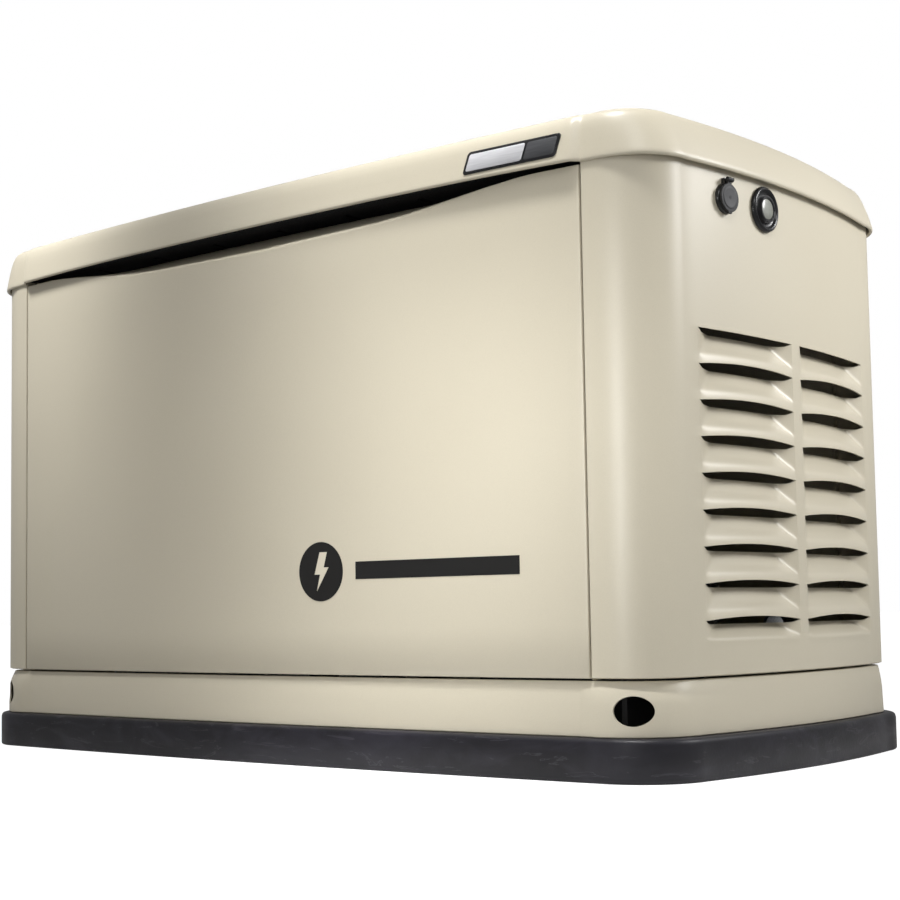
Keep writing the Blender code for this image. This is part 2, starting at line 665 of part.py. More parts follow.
def build_cylinder(label, sign, x, mats):
    """Finned barrel with its head, and the rocker cover on top."""
    fins, core, fin, thick = 6, 0.046, 0.060, 0.005
    pitch = (HEAD - DECK) / fins
    profile = []
    for i in range(fins):
        low = DECK + i * pitch
        profile += [(low, core), (low + pitch - thick, core), (low + pitch - thick, fin), (low + pitch, fin)]
    bm = turned(profile, (0, 0, 0), "Z", 16)
    bm.transform(cylinder_frame(sign, x))
    barrel = add_object(f"cylinder_{label}", bm, mats["cast"])
    head = box((-0.055, -0.050, HEAD - 0.002), (0.055, 0.050, COVER))
    head.transform(cylinder_frame(sign, x))
    combine(barrel, "UNION", head)
    cover = bevelled_box((-0.050, -0.044, COVER + GAP), (0.050, 0.044, COVER + 0.032), 0.007)
    cover.transform(cylinder_frame(sign, x))
    add_object(f"rocker_cover_{label}", cover, mats["engine_black"])


def build_rotating_group(mats, axis):
    """Crankshaft, alternator rotor and flywheel fan: they turn as one."""
    centre = (0, CRANK_Y, CRANK_Z)
    shaft = [
        (-0.238, 0.016), (-0.1510, 0.016), (-0.1510, 0.0290), (0.0850, 0.0290), (0.0850, 0.0195),
        (0.2960, 0.0195),
    ]
    add_object("crankshaft", turned(shaft, centre, steps=16), mats["steel"], axis)
    rotor = [(0.112, 0.0200), (0.112, 0.0860), (0.259, 0.0860), (0.259, 0.0200)]
    rotor = add_object("rotor", turned(rotor, centre, steps=24, closed=True), mats["copper"], axis)
    slots = merged(
        box((0.10, CRANK_Y - 0.100, CRANK_Z - 0.022), (0.27, CRANK_Y - 0.060, CRANK_Z + 0.022)),
        box((0.10, CRANK_Y + 0.060, CRANK_Z - 0.022), (0.27, CRANK_Y + 0.100, CRANK_Z + 0.022)),
    )
    combine(rotor, "DIFFERENCE", slots)
    wheel = [(-0.178, 0.0165), (-0.178, 0.104), (-0.160, 0.104), (-0.160, 0.0165)]
    wheel = add_object("flywheel_fan", turned(wheel, centre, steps=24, closed=True), mats["cast"], axis)
    blades = bmesh.new()
    for i in range(10):
        blade = box((-0.218, -0.003, 0.050), (-0.170, 0.003, 0.100))
        blade.transform(Matrix.Translation(centre) @ Matrix.Rotation(math.tau * i / 10, 4, "X"))
        blades = merged(blades, blade)
    combine(wheel, "UNION", blades)


def build_alternator(mats):
    """Laminated stator, and the end bell with the rear bearing seat and a foot."""
    centre = (0, CRANK_Y, CRANK_Z)
    core = [
        (STATOR_LEFT, STATOR_BORE), (STATOR_LEFT, STATOR_RADIUS), (STATOR_RIGHT, STATOR_RADIUS),
        (STATOR_RIGHT, STATOR_BORE),
    ]
    add_object("stator", turned(core, centre, steps=24, closed=True), mats["copper"])
    left = STATOR_RIGHT + GAP
    bell = [
        (left, STATOR_BORE), (left, STATOR_RADIUS), (0.290, STATOR_RADIUS), (0.300, 0.100), (0.300, 0.0205),
        (0.285, 0.0205), (0.285, STATOR_BORE),
    ]
    bell = add_object("end_bell", turned(bell, centre, steps=20, closed=True), mats["cast"])
    combine(bell, "UNION", box((0.270, CRANK_Y - 0.060, CRADLE_TOP + GAP), (0.288, CRANK_Y + 0.060, 0.175)))


CRADLE_TOP = CRANK_Z - 0.150 - GAP
CRADLE_LOW = CRADLE_TOP - 0.012


def build_cradle(mats):
    """Steel cradle under engine and alternator, on four rubber isolators."""
    frame = box((-0.160, CRANK_Y - 0.100, CRADLE_LOW), (0.310, CRANK_Y + 0.100, CRADLE_TOP))
    cradle = add_object("engine_cradle", frame, mats["steel"])
    combine(cradle, "DIFFERENCE", box((-0.090, -0.040, CRADLE_LOW - 0.01), (0.230, 0.080, CRADLE_TOP + 0.01)))
    for side, x in (("left", -0.125), ("right", 0.275)):
        for end, y in (("front", -0.055), ("rear", 0.095)):
            profile = [
                (FLOOR_Z, 0.024), (FLOOR_Z + 0.010, 0.024), (FLOOR_Z + 0.020, 0.017),
                (CRADLE_LOW - 0.020, 0.017), (CRADLE_LOW - 0.010, 0.022), (CRADLE_LOW - GAP, 0.022),
            ]
            add_object(f"isolator_{end}_{side}", turned(profile, (x, y, 0), "Z", 14), mats["rubber"])


def build_engine_trim(mats):
    """Blower housing, starter, oil filter and the air box with its filter and cover."""
    centre = (0, CRANK_Y, CRANK_Z)
    right = ENGINE_LEFT - GAP
    shroud = [
        (right, 0.119), (right, 0.122), (-0.232, 0.122), (-0.232, 0.072), (-0.229, 0.072), (-0.229, 0.119)
    ]
    add_object("blower_housing", turned(shroud, centre, steps=24, closed=True), mats["engine_black"])
    starter = [(-0.140, 0.018), (-0.118, 0.018), (-0.118, 0.029), (-0.010, 0.029), (-0.002, 0.022)]
    add_object("starter_motor", turned(starter, (0, CRANK_Y - 0.1335, 0.185), steps=16), mats["steel"])
    oil = [(CRANK_Y - 0.1032, 0.034), (CRANK_Y - 0.180, 0.034), (CRANK_Y - 0.188, 0.028)]
    add_object("oil_filter", turned(oil, (0.040, 0, 0.185), "Y", 18), mats["yellow"])
    low = CRANK_Z + 0.205
    air_box = box((-0.150, -0.080, low), (0.070, 0.120, low + 0.085))
    air_box = add_object("air_box", air_box, mats["engine_black"])
    combine(air_box, "DIFFERENCE", box((-0.146, -0.076, low + 0.004), (0.066, 0.116, low + 0.10)))
    combine(air_box, "UNION", rod(0.0140, CRANK_Z + 0.1030, low + 0.003, (-0.04, CRANK_Y, 0), "Z", 14))
    pleats, width = 16, 0.2056
    top = [(-0.1432 + width * i / pleats, low + (0.076 if i % 2 else 0.064)) for i in range(pleats + 1)]
    foot = [(top[-1][0], low + 0.040), (top[0][0], low + 0.040)]
    bm = bmesh.new()
    add_ring_walls(bm, [[(x, y, z) for x, z in [*top, *foot]] for y in (-0.073, 0.113)])
    add_object("air_filter", bm, mats["filter"])
    cover = bevelled_box((-0.152, -0.082, low + 0.085 + GAP), (0.072, 0.122, low + 0.115), 0.008)
    add_object("air_box_cover", cover, mats["engine_black"])


# ---------------------------------------------------------------- exhaust and gas
def build_exhaust(mats):
    """Silencer in its own bay, a pipe to it from each head, and the outlet behind the left louvres."""
    top = 0.395
    muffler = bevelled_box((-0.535, -0.190, 0.150), (-0.355, 0.235, top), 0.030)
    muffler = add_object("muffler", muffler, mats["steel"])
    legs = merged(*(box((-0.480, y, FLOOR_Z), (-0.410, y + SHEET, 0.160)) for y in (-0.130, 0.170)))
    combine(muffler, "UNION", legs)
    combine(muffler, "UNION", rod(0.0200, -0.566, -0.500, (0, -0.100, 0.220), "X", 14))
    chamber = bevelled_box((-0.532, -0.187, 0.153), (-0.358, 0.232, top - 0.003), 0.028)
    combine(muffler, "DIFFERENCE", chamber)
    combine(muffler, "DIFFERENCE", rod(0.0175, -0.580, -0.520, (0, -0.100, 0.220), "X", 14))
    for (label, _, x), y in zip(CYLINDERS, PORT_YS):
        start = x - 0.055 - GAP
        route = [
            (start, y, PORT_Z), (start - 0.04, y, PORT_Z), (-0.345, y, PORT_Z), (-0.405, y, PORT_Z - 0.004),
            (-0.440, y * 0.9, PORT_Z - 0.023), (-0.440, y * 0.9, top + GAP),
        ]
        add_tube(f"exhaust_pipe_{label}", route, 0.0155, mats["steel"], 0.030)


def build_gas(mats):
    """Threaded inlet stub at the rear, the demand regulator and the hose to the air box."""
    inlet = [
        (0.2603, 0.0090), (0.2603, 0.0135), (0.3089, 0.0135), (0.3089, 0.0190), (0.3110, 0.0190),
        (0.3110, 0.0130), (0.3185, 0.0130), (0.3185, 0.0090),
    ]
    add_object("gas_inlet", turned(inlet, (GAS_X, 0, GAS_Z), "Y", 16, closed=True), mats["cast"])
    regulator = [
        (0.178, 0.030), (0.188, 0.052), (0.212, 0.052), (0.212, 0.058), (0.222, 0.058), (0.222, 0.040),
        (0.260, 0.036),
    ]
    regulator = turned(regulator, (GAS_X, 0, GAS_Z), "Y", 20)
    regulator = add_object("gas_regulator", regulator, mats["cast"])
    combine(regulator, "UNION", rod(0.0140, GAS_Z, GAS_Z + 0.070, (GAS_X, 0.238, 0), "Z", 12))
    low = CRANK_Z + 0.205
    route = [
        (GAS_X, 0.238, GAS_Z + 0.070 + GAP), (GAS_X, 0.238, GAS_Z + 0.11), (0.265, 0.225, 0.42),
        (0.16, 0.150, 0.50), (0.105, 0.085, low + 0.045), (0.070 + GAP, 0.085, low + 0.045),
    ]
    add_tube("gas_hose", route, 0.0110, mats["rubber"], 0.024)
    hub = [
        (0.270, 0.0130), (0.270, 0.0175), (0.3089, 0.0175), (0.3089, 0.0215), (0.3185, 0.0215),
        (0.3185, 0.0130),
    ]
    add_object("cable_hub", turned(hub, (HUB_X, 0, HUB_Z), "Y", 18, closed=True), mats["cast"])


# ---------------------------------------------------------------- control box, breaker, battery
BOX_LEFT, BOX_RIGHT = 0.190, 0.470
FACIA_LOW, FACIA_HIGH = Vector((-0.270, 0.500)), Vector((-0.150, 0.640))  # (y, z) of the sloping face
FACIA_TILT = math.atan2(FACIA_HIGH.y - FACIA_LOW.y, FACIA_HIGH.x - FACIA_LOW.x)
KEYS = (("auto", 0.225, "key_green"), ("off", 0.265, "red"), ("manual", 0.305, "key_blue"))
KEY_ROW = 0.060  # distance of the keys up the sloping face
WINDOW = (0.345, 0.440, 0.060, 0.125)  # left, right, low and high edges of the display recess


def facia_frame():
    """Frame with +Y up the sloping face and +Z out of it."""
    turn = Matrix.Rotation(FACIA_TILT, 4, "X")
    return Matrix.Translation((0, FACIA_LOW.x, FACIA_LOW.y)) @ turn


def build_control_box(mats):
    """Folded housing with a sloping facia, open at the rear for its harness."""
    wall = 0.0025
    outer = [(-0.270, 0.430), tuple(FACIA_LOW), tuple(FACIA_HIGH), (-0.060, 0.640), (-0.060, 0.430)]
    inner = [
        (-0.2675, 0.4325), (-0.2675, 0.4990), (-0.1489, 0.6375), (-0.050, 0.6375), (-0.050, 0.4325)
    ]
    housing = add_object("control_box", prism_along_x(outer, BOX_LEFT, BOX_RIGHT), mats["black"])
    combine(housing, "DIFFERENCE", prism_along_x(inner, BOX_LEFT + wall, BOX_RIGHT - wall))
    openings = bmesh.new()
    for _, x, _ in KEYS:
        add_box(openings, (x - 0.0145, KEY_ROW - 0.0105, -0.02), (x + 0.0145, KEY_ROW + 0.0105, 0.02))
    left, right, low, high = WINDOW
    add_box(openings, (left, low, -0.0012), (right, high, 0.02))
    openings.transform(facia_frame())
    combine(housing, "DIFFERENCE", openings)
    combine(housing, "UNION", box((0.330, -0.089, FLOOR_Z), (0.460, -0.086, 0.4315)))
    for name, x, colour in KEYS:
        low, high = (x - 0.0135, KEY_ROW - 0.0095, -0.0060), (x + 0.0135, KEY_ROW + 0.0095, 0.0022)
        key = bevelled_box(low, high, 0.0012, 1)
        key.transform(facia_frame())
        seat = facia_frame() @ Vector((x, KEY_ROW, 0.0))
        add_object(f"key_{name}", key, mats[colour], add_axis(f"key_{name}_axis", seat))


BREAKER_X, BREAKER_Z, BREAKER_PIVOT_Y = 0.250, 0.465, -0.2775


def build_breaker(mats):
    """Main breaker on the control box's front, with its toggle resting up, at on."""
    low, high = BREAKER_Z - 0.030, BREAKER_Z + 0.030
    body = box((BREAKER_X - 0.040, -0.2850, low), (BREAKER_X + 0.040, -0.270 - GAP, high))
    body = add_object("breaker_body", body, mats["black"])
    slot = box((BREAKER_X - 0.010, -0.30, BREAKER_Z - 0.014), (BREAKER_X + 0.010, -0.2715, BREAKER_Z + 0.014))
    combine(body, "DIFFERENCE", slot)
    pivot = Vector((BREAKER_X, BREAKER_PIVOT_Y, BREAKER_Z))
    axis = add_axis("breaker_axis", pivot)
    toggle = rod(0.0045, -0.0085, 0.0085, (0, 0, 0), "X", 12)
    toggle = add_object("breaker_toggle", toggle, mats["red"], axis, local=True)
    handle = box((-0.0070, -0.0190, -0.0028), (0.0070, -0.001, 0.0028))
    handle.transform(Matrix.Rotation(math.radians(-25), 4, "X"))
    combine(toggle, "UNION", handle, local=True)


def build_battery(mats):
    """Starting battery with its two posts, and the lead to the starter."""
    low, high = (0.315, -0.264, FLOOR_Z), (0.515, -0.094, 0.240)
    battery = add_object("battery", bevelled_box(low, high, 0.004, 1), mats["black"])
    posts = merged(*(rod(0.0085, 0.235, 0.256, (x, -0.135, 0), "Z", 12) for x in (0.345, 0.490)))
    combine(battery, "UNION", posts)
    route = [
        (0.345, -0.135, 0.256 + GAP), (0.345, -0.135, 0.272), (0.300, -0.170, 0.292), (0.200, -0.190, 0.250),
        (0.110, -0.190, 0.228), (0.040, -0.1800, 0.2420), (0.000, -0.150, 0.250), (-0.034, -0.118, 0.245),
        (-0.040, -0.1135, 0.230), (-0.040, -0.1135, 0.2143 + GAP),
    ]
    add_tube("battery_lead", route, 0.0050, mats["red"], 0.022, sides=1)


# ---------------------------------------------------------------- assembly
def build():
    for obj in list(bpy.data.objects):
        bpy.data.objects.remove(obj, do_unlink=True)
    mats = make_materials()
    lid_axis = add_axis("lid_axis", (0, HINGE_Y, HINGE_Z))
    front_axis = add_axis("front_panel_axis", (0, -WALL_HALF_Y, PANEL_BOTTOM))
    crank_axis = add_axis("crank_axis", (0, CRANK_Y, CRANK_Z))
    dipstick_axis = add_axis("dipstick_axis", DIPSTICK_FOOT)
    build_pad(mats)
    build_tray(mats)
    build_end_panel("end_panel_right", 1, mats)
    build_end_panel("end_panel_left", -1, mats)
    build_front_panel(mats, front_axis)
    build_rear_panel(mats)
    build_divider(mats)
    build_lid(mats, lid_axis)
    build_badge(mats, lid_axis)
    build_hinge(mats, lid_axis)
    for label, side in (("right", 1), ("left", -1)):
        build_lock(label, side, mats, lid_axis)
    build_status_light(mats)
    build_crankcase(mats)
    build_dipstick(mats, dipstick_axis)
    for label, sign, x in CYLINDERS:
        build_cylinder(label, sign, x, mats)
    build_rotating_group(mats, crank_axis)
    build_alternator(mats)
    build_cradle(mats)
    build_engine_trim(mats)
    build_exhaust(mats)
    build_gas(mats)
    build_control_box(mats)
    build_breaker(mats)
    build_battery(mats)


build()
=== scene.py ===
import json
import math

import bmesh
import bpy
from mathutils import Matrix, Vector


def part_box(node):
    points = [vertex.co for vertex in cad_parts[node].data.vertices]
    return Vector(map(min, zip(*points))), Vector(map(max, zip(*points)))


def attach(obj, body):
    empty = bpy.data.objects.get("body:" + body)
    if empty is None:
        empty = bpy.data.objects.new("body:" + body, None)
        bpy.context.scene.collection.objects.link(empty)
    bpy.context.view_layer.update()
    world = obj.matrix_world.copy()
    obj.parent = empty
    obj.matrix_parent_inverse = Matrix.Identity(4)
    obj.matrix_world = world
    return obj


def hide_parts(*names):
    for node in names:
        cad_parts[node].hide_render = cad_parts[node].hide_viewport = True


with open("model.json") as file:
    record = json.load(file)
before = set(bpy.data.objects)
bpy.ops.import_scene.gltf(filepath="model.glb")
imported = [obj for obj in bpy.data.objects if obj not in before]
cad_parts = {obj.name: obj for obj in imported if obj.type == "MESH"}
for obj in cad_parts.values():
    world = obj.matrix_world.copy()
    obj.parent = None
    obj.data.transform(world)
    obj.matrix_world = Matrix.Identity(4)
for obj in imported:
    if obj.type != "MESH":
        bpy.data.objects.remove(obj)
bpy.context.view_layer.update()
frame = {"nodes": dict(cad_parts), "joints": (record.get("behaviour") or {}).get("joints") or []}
joints = {joint["name"]: joint for joint in frame["joints"]}

# ------------------------------------------------------------------ camera and studio
# A long lens low beside the louvred end, a pale floor in a white room, and seven narrow soft
# boxes: three overhead, two low in front, one at the near corner and one past the louvred end.
FLOOR_GLOW, ROOM_LIGHT = 0.78, 0.33
yaw, pitch, roll = math.radians(39.973), math.radians(4.474), math.radians(-0.852)
forward = Vector((-math.sin(yaw) * math.cos(pitch), math.cos(yaw) * math.cos(pitch), math.sin(pitch)))
level = Vector((math.cos(yaw), math.sin(yaw), 0.0))
upward = level.cross(forward)
side_axis = math.cos(roll) * level + math.sin(roll) * upward
up_axis = -math.sin(roll) * level + math.cos(roll) * upward
bpy.ops.object.camera_add()
camera = bpy.context.object
camera.data.sensor_width = 36.0
camera.data.lens = 66.80
camera.data.shift_x, camera.data.shift_y = 0.0307, 0.0352
camera.data.clip_end = 200.0
turn = Matrix((side_axis, up_axis, -forward)).transposed().to_4x4()
eye = Vector((1.509457, -1.782856, 0.182913))
camera.matrix_world = Matrix.Translation(eye) @ turn
bpy.context.scene.camera = camera
bpy.context.scene.view_settings.view_transform = "Standard"

# The floor glows to the camera alone, so it looks white without lighting the object from below.
bpy.ops.mesh.primitive_circle_add(vertices=96, radius=40.0, fill_type="NGON", location=(0, 0, -0.0005))
floor = bpy.context.object
floor.name = "studio_floor"
paint = bpy.data.materials.new("floor paint")
paint.use_nodes = True
tree = paint.node_tree
shader = tree.nodes["Principled BSDF"]
shader.inputs["Base Color"].default_value = (0.90, 0.90, 0.90, 1.0)
shader.inputs["Roughness"].default_value = 0.9
shader.inputs["Emission Color"].default_value = (1.0, 1.0, 1.0, 1.0)
glow = tree.nodes.new("ShaderNodeMath")
glow.operation = "MULTIPLY"
glow.inputs[1].default_value = FLOOR_GLOW
tree.links.new(tree.nodes.new("ShaderNodeLightPath").outputs["Is Camera Ray"], glow.inputs[0])
tree.links.new(glow.outputs[0], shader.inputs["Emission Strength"])
floor.data.materials.append(paint)

# The room is white to the eye, and lights the object more softly than it looks.
room = bpy.data.worlds.new("white room")
room.use_nodes = True
tree = room.node_tree
room_light = tree.nodes["Background"]
room_light.inputs["Color"].default_value = (1.0, 1.0, 1.0, 1.0)
room_light.inputs["Strength"].default_value = ROOM_LIGHT
backdrop = tree.nodes.new("ShaderNodeBackground")
backdrop.inputs["Color"].default_value = (1.0, 1.0, 1.0, 1.0)
backdrop.inputs["Strength"].default_value = 1.0
seen = tree.nodes.new("ShaderNodeLightPath")
either = tree.nodes.new("ShaderNodeMixShader")
tree.links.new(seen.outputs["Is Camera Ray"], either.inputs["Fac"])
tree.links.new(room_light.outputs["Background"], either.inputs[1])
tree.links.new(backdrop.outputs["Background"], either.inputs[2])
tree.links.new(either.outputs["Shader"], tree.nodes["World Output"].inputs["Surface"])
bpy.context.scene.world = room


def soft_box(name, place, aim, width, height, power, spread):
    data = bpy.data.lights.new(name, "AREA")
    data.shape = "RECTANGLE"
    data.size, data.size_y, data.energy, data.spread = width, height, power, math.radians(spread)
    lamp = bpy.data.objects.new(name, data)
    bpy.context.scene.collection.objects.link(lamp)
    lamp.location = place
    lamp.rotation_euler = (Vector(aim) - Vector(place)).to_track_quat("-Z", "Y").to_euler()


soft_box("right overhead box", (0.47, -0.86, 2.60), (0.38, -0.3, 0.48), 0.3, 0.3, 1.15, 23)
soft_box("middle overhead box", (0.05, -1.00, 1.90), (0.10, -0.3, 0.31), 0.3, 0.3, 0.60, 25)
soft_box("left overhead box", (-0.60, -0.90, 1.80), (-0.46, -0.3, 0.66), 0.3, 0.3, 0.80, 26)
soft_box("front box", (0.62, -1.50, 0.50), (0.42, -0.3, 0.40), 0.4, 0.4, 0.31, 26)
soft_box("low box", (0.60, -1.50, 0.42), (0.38, -0.3, 0.20), 0.5, 0.5, 0.05, 28)
soft_box("corner box", (1.30, -1.00, 1.50), (0.57, -0.2, 0.69), 0.4, 0.4, 0.26, 40)
soft_box("end box", (1.70, 0.70, 1.20), (0.60, 0.10, 0.56), 0.5, 0.5, 2.15, 50)


# ------------------------------------------------------------------ moulded mounting pad
# A slab of black composite that the enclosure is bolted to. Its plan bulges like the
# enclosure's, its rim is rounded, and it is ribbed and hollow underneath.
BULGE_ENDS, BULGE_FRONT, CORNER, REAR_EXTRA = 0.0176, 0.0153, 0.0740, 0.0220
LIP_END, LIP_STEP = 0.4935, 0.0080
FRONT_STOPS = [i / 20 for i in range(-18, 19)]
FRONT_STOPS += [side * (0.925 + i / 200) for side in (-1, 1) for i in range(16)]
FRONT_STOPS.sort()


def plan_lap(half_x, front, rear, corner=CORNER, lip=0.0, rear_extra=REAR_EXTRA):
    """One lap of the bulging plan, seen from above, from the front left corner round by the right."""
    rear_corner = corner + rear_extra
    x_turn, x_back = half_x - BULGE_ENDS - corner, half_x - BULGE_ENDS - rear_corner
    y_turn, y_back = front - BULGE_FRONT - corner, rear - rear_corner
    lap = []
    for stop in FRONT_STOPS:
        step = lip * min(1.0, max(0.0, (LIP_END - abs(x_turn * stop)) / LIP_STEP))
        lap.append((x_turn * stop, -front + BULGE_FRONT * stop * stop - step))
    turns = (((x_turn, -y_turn), -90, corner), ((x_back, y_back), 0, rear_corner))
    turns += (((-x_back, y_back), 90, rear_corner), ((-x_turn, -y_turn), 180, corner))
    for centre, start, radius in turns:
        for i in range(0 if start in (0, 90) else 1, 17):
            angle = math.radians(start + 90 * i / 16)
            lap.append((centre[0] + radius * math.cos(angle), centre[1] + radius * math.sin(angle)))
        if start == 0:
            lap += [(x_back * (1 - i / 6), rear) for i in range(1, 12)]
        if start in (-90, 90):
            side, low, high = (1, -y_turn, y_back) if start < 0 else (-1, y_back, -y_turn)
            for i in range(1, 24):
                share = 2 * i / 24 - 1
                y = (low + high) / 2 + share * (high - low) / 2
                lap.append((side * (half_x - BULGE_ENDS * share * share), y))
    lap.pop()
    return lap


def loft(name, rows, round_trip=True, cap_first=False, cap_last=False, gaps=()):
    """A skin over rows of points: a grid is added, each row is put in place, and the seam is welded.
    The cells in gaps, each a row and a place along it, are left open."""
    bpy.ops.object.select_all(action="DESELECT")
    across = len(rows[0]) if round_trip else len(rows[0]) - 1
    bpy.ops.mesh.primitive_grid_add(x_subdivisions=across, y_subdivisions=len(rows) - 1, size=1)
    piece = bpy.context.object
    piece.name = piece.data.name = name
    points = [point for row in rows for point in (list(row) + [row[0]] if round_trip else row)]
    for vertex, point in zip(piece.data.vertices, points):
        vertex.co = point
    bpy.ops.object.mode_set(mode="EDIT")
    if gaps:
        bpy.ops.mesh.select_all(action="DESELECT")
        shape = bmesh.from_edit_mesh(piece.data)
        shape.faces.ensure_lookup_table()
        for row, place in gaps:
            shape.faces[row * across + place].select_set(True)
        bmesh.update_edit_mesh(piece.data)
        bpy.ops.mesh.delete(type="FACE")
    bpy.ops.mesh.select_all(action="SELECT")
    bpy.ops.mesh.remove_doubles(threshold=1e-6)
    bpy.ops.mesh.select_all(action="DESELECT")
    shape = bmesh.from_edit_mesh(piece.data)
    for wanted, row in ((cap_first, rows[0]), (cap_last, rows[-1])):
        if wanted:
            for edge in shape.edges:
                edge.select_set(edge.is_boundary and all(abs(v.co.z - row[0][2]) < 1e-5 for v in edge.verts))
            bmesh.update_edit_mesh(piece.data)
            bpy.ops.mesh.edge_face_add()
            bpy.ops.mesh.select_all(action="DESELECT")
    bpy.ops.mesh.select_all(action="SELECT")
    bpy.ops.mesh.normals_make_consistent(inside=False)
    bpy.ops.object.mode_set(mode="OBJECT")
    return piece


def apply_all(piece):
    bpy.ops.object.select_all(action="DESELECT")
    piece.select_set(True)
    bpy.context.view_layer.objects.active = piece
    for modifier in list(piece.modifiers):
        bpy.ops.object.modifier_apply(modifier=modifier.name)


def settle(piece, body, slot, finish, *nodes, angle=35):
    """Applies what is live, puts the piece's place in its mesh, smooths it and fits it to its body."""
    apply_all(piece)
    bpy.ops.object.transform_apply(location=True, rotation=True, scale=True)
    bpy.ops.object.shade_smooth_by_angle(angle=math.radians(angle))
    piece.data.materials.clear()
    piece.data.materials.append(finish)
    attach(piece, body)
    if nodes:
        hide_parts(*nodes)
    return piece


def cut(piece, cutter, operation="DIFFERENCE"):
    modifier = piece.modifiers.new("cut", "BOOLEAN")
    modifier.operation, modifier.solver, modifier.object = operation, "EXACT", cutter
    apply_all(piece)
    bpy.data.objects.remove(cutter, do_unlink=True)


def block(name, low, high):
    bpy.ops.object.select_all(action="DESELECT")
    bpy.ops.mesh.primitive_cube_add(size=1, location=[(a + b) / 2 for a, b in zip(low, high)])
    piece = bpy.context.object
    piece.name = piece.data.name = name
    piece.scale = [b - a for a, b in zip(low, high)]
    bpy.ops.object.transform_apply(location=True, rotation=True, scale=True)
    return piece


def nodes_of(name, colour, roughness, metallic=0.0):
    """A new material, with its node tree and shader."""
    finish = bpy.data.materials.new(name)
    finish.use_nodes = True
    tree = finish.node_tree
    shader = tree.nodes["Principled BSDF"]
    shader.inputs["Base Color"].default_value = (*colour, 1.0)
    shader.inputs["Roughness"].default_value = roughness
    shader.inputs["Metallic"].default_value = metallic
    return finish, tree, shader


def cloud(tree, scale, detail=4.0, stretch=(1.0, 1.0, 1.0), distortion=0.0):
    """Noise on object coordinates, in repeats per metre."""
    place = tree.nodes.new("ShaderNodeTexCoord")
    fit = tree.nodes.new("ShaderNodeMapping")
    fit.inputs["Scale"].default_value = stretch
    noise = tree.nodes.new("ShaderNodeTexNoise")
    noise.inputs["Scale"].default_value = scale
    noise.inputs["Detail"].default_value = detail
    noise.inputs["Distortion"].default_value = distortion
    tree.links.new(place.outputs["Object"], fit.inputs["Vector"])
    tree.links.new(fit.outputs["Vector"], noise.inputs["Vector"])
    return noise.outputs["Fac"]


def ramp(tree, factor, *stops):
    node = tree.nodes.new("ShaderNodeValToRGB")
    while len(node.color_ramp.elements) < len(stops):
        node.color_ramp.elements.new(0.5)
    for element, (position, colour) in zip(node.color_ramp.elements, stops):
        element.position = position
        element.color = (*colour, 1.0) if isinstance(colour, tuple) else (colour, colour, colour, 1.0)
    tree.links.new(factor, node.inputs["Fac"])
    return node.outputs["Color"]


def blend_colours(tree, factor, first, second, kind="MIX"):
    node = tree.nodes.new("ShaderNodeMix")
    node.data_type, node.blend_type = "RGBA", kind
    for socket, value in ((node.inputs[0], factor), (node.inputs[6], first), (node.inputs[7], second)):
        if isinstance(value, bpy.types.NodeSocket):
            tree.links.new(value, socket)
        else:
            socket.default_value = value if isinstance(value, float) else (*value, 1.0)
    return node.outputs[2]


def tint(tree, shader, factor, *stops):
    """The shader's base colour follows a factor through a ramp."""
    tree.links.new(ramp(tree, factor, *stops), shader.inputs["Base Color"])


def sheen(tree, shader, factor, *stops):
    """The shader's roughness follows a factor through a ramp."""
    tree.links.new(ramp(tree, factor, *stops), shader.inputs["Roughness"])


def bump(tree, shader, height, strength, distance):
    node = tree.nodes.new("ShaderNodeBump")
    node.inputs["Strength"].default_value = strength
    node.inputs["Distance"].default_value = distance
    tree.links.new(height, node.inputs["Height"])
    tree.links.new(node.outputs["Normal"], shader.inputs["Normal"])


composite, tree, shader = nodes_of("pad composite", (0.020, 0.019, 0.025), 0.5)
swirl = cloud(tree, 4.0, 9.0, (0.8, 0.8, 2.0), 1.8)
scuff = cloud(tree, 9.0, 12.0, (0.7, 0.7, 1.6), 2.4)
streak = cloud(tree, 26.0, 10.0, (0.30, 0.30, 1.6), 3.5)
base = ramp(
    tree, swirl,
    (0.30, (0.0060, 0.0055, 0.0080)), (0.52, (0.0105, 0.0098, 0.0140)), (0.74, (0.022, 0.0205, 0.0290)),
)
worn = ramp(tree, scuff, (0.50, 0.0), (0.78, 1.0))
line = ramp(tree, streak, (0.615, 0.0), (0.650, 0.55), (0.685, 0.0))
coat = blend_colours(tree, worn, base, (0.024, 0.022, 0.031))
coat = blend_colours(tree, line, coat, (0.055, 0.052, 0.062))
tree.links.new(coat, shader.inputs["Base Color"])
sheen(tree, shader, scuff, (0.35, 0.46), (0.70, 0.38))
shader.inputs["Specular IOR Level"].default_value = 0.36
bump(tree, shader, cloud(tree, 260.0, 6.0), 0.25, 0.0006)

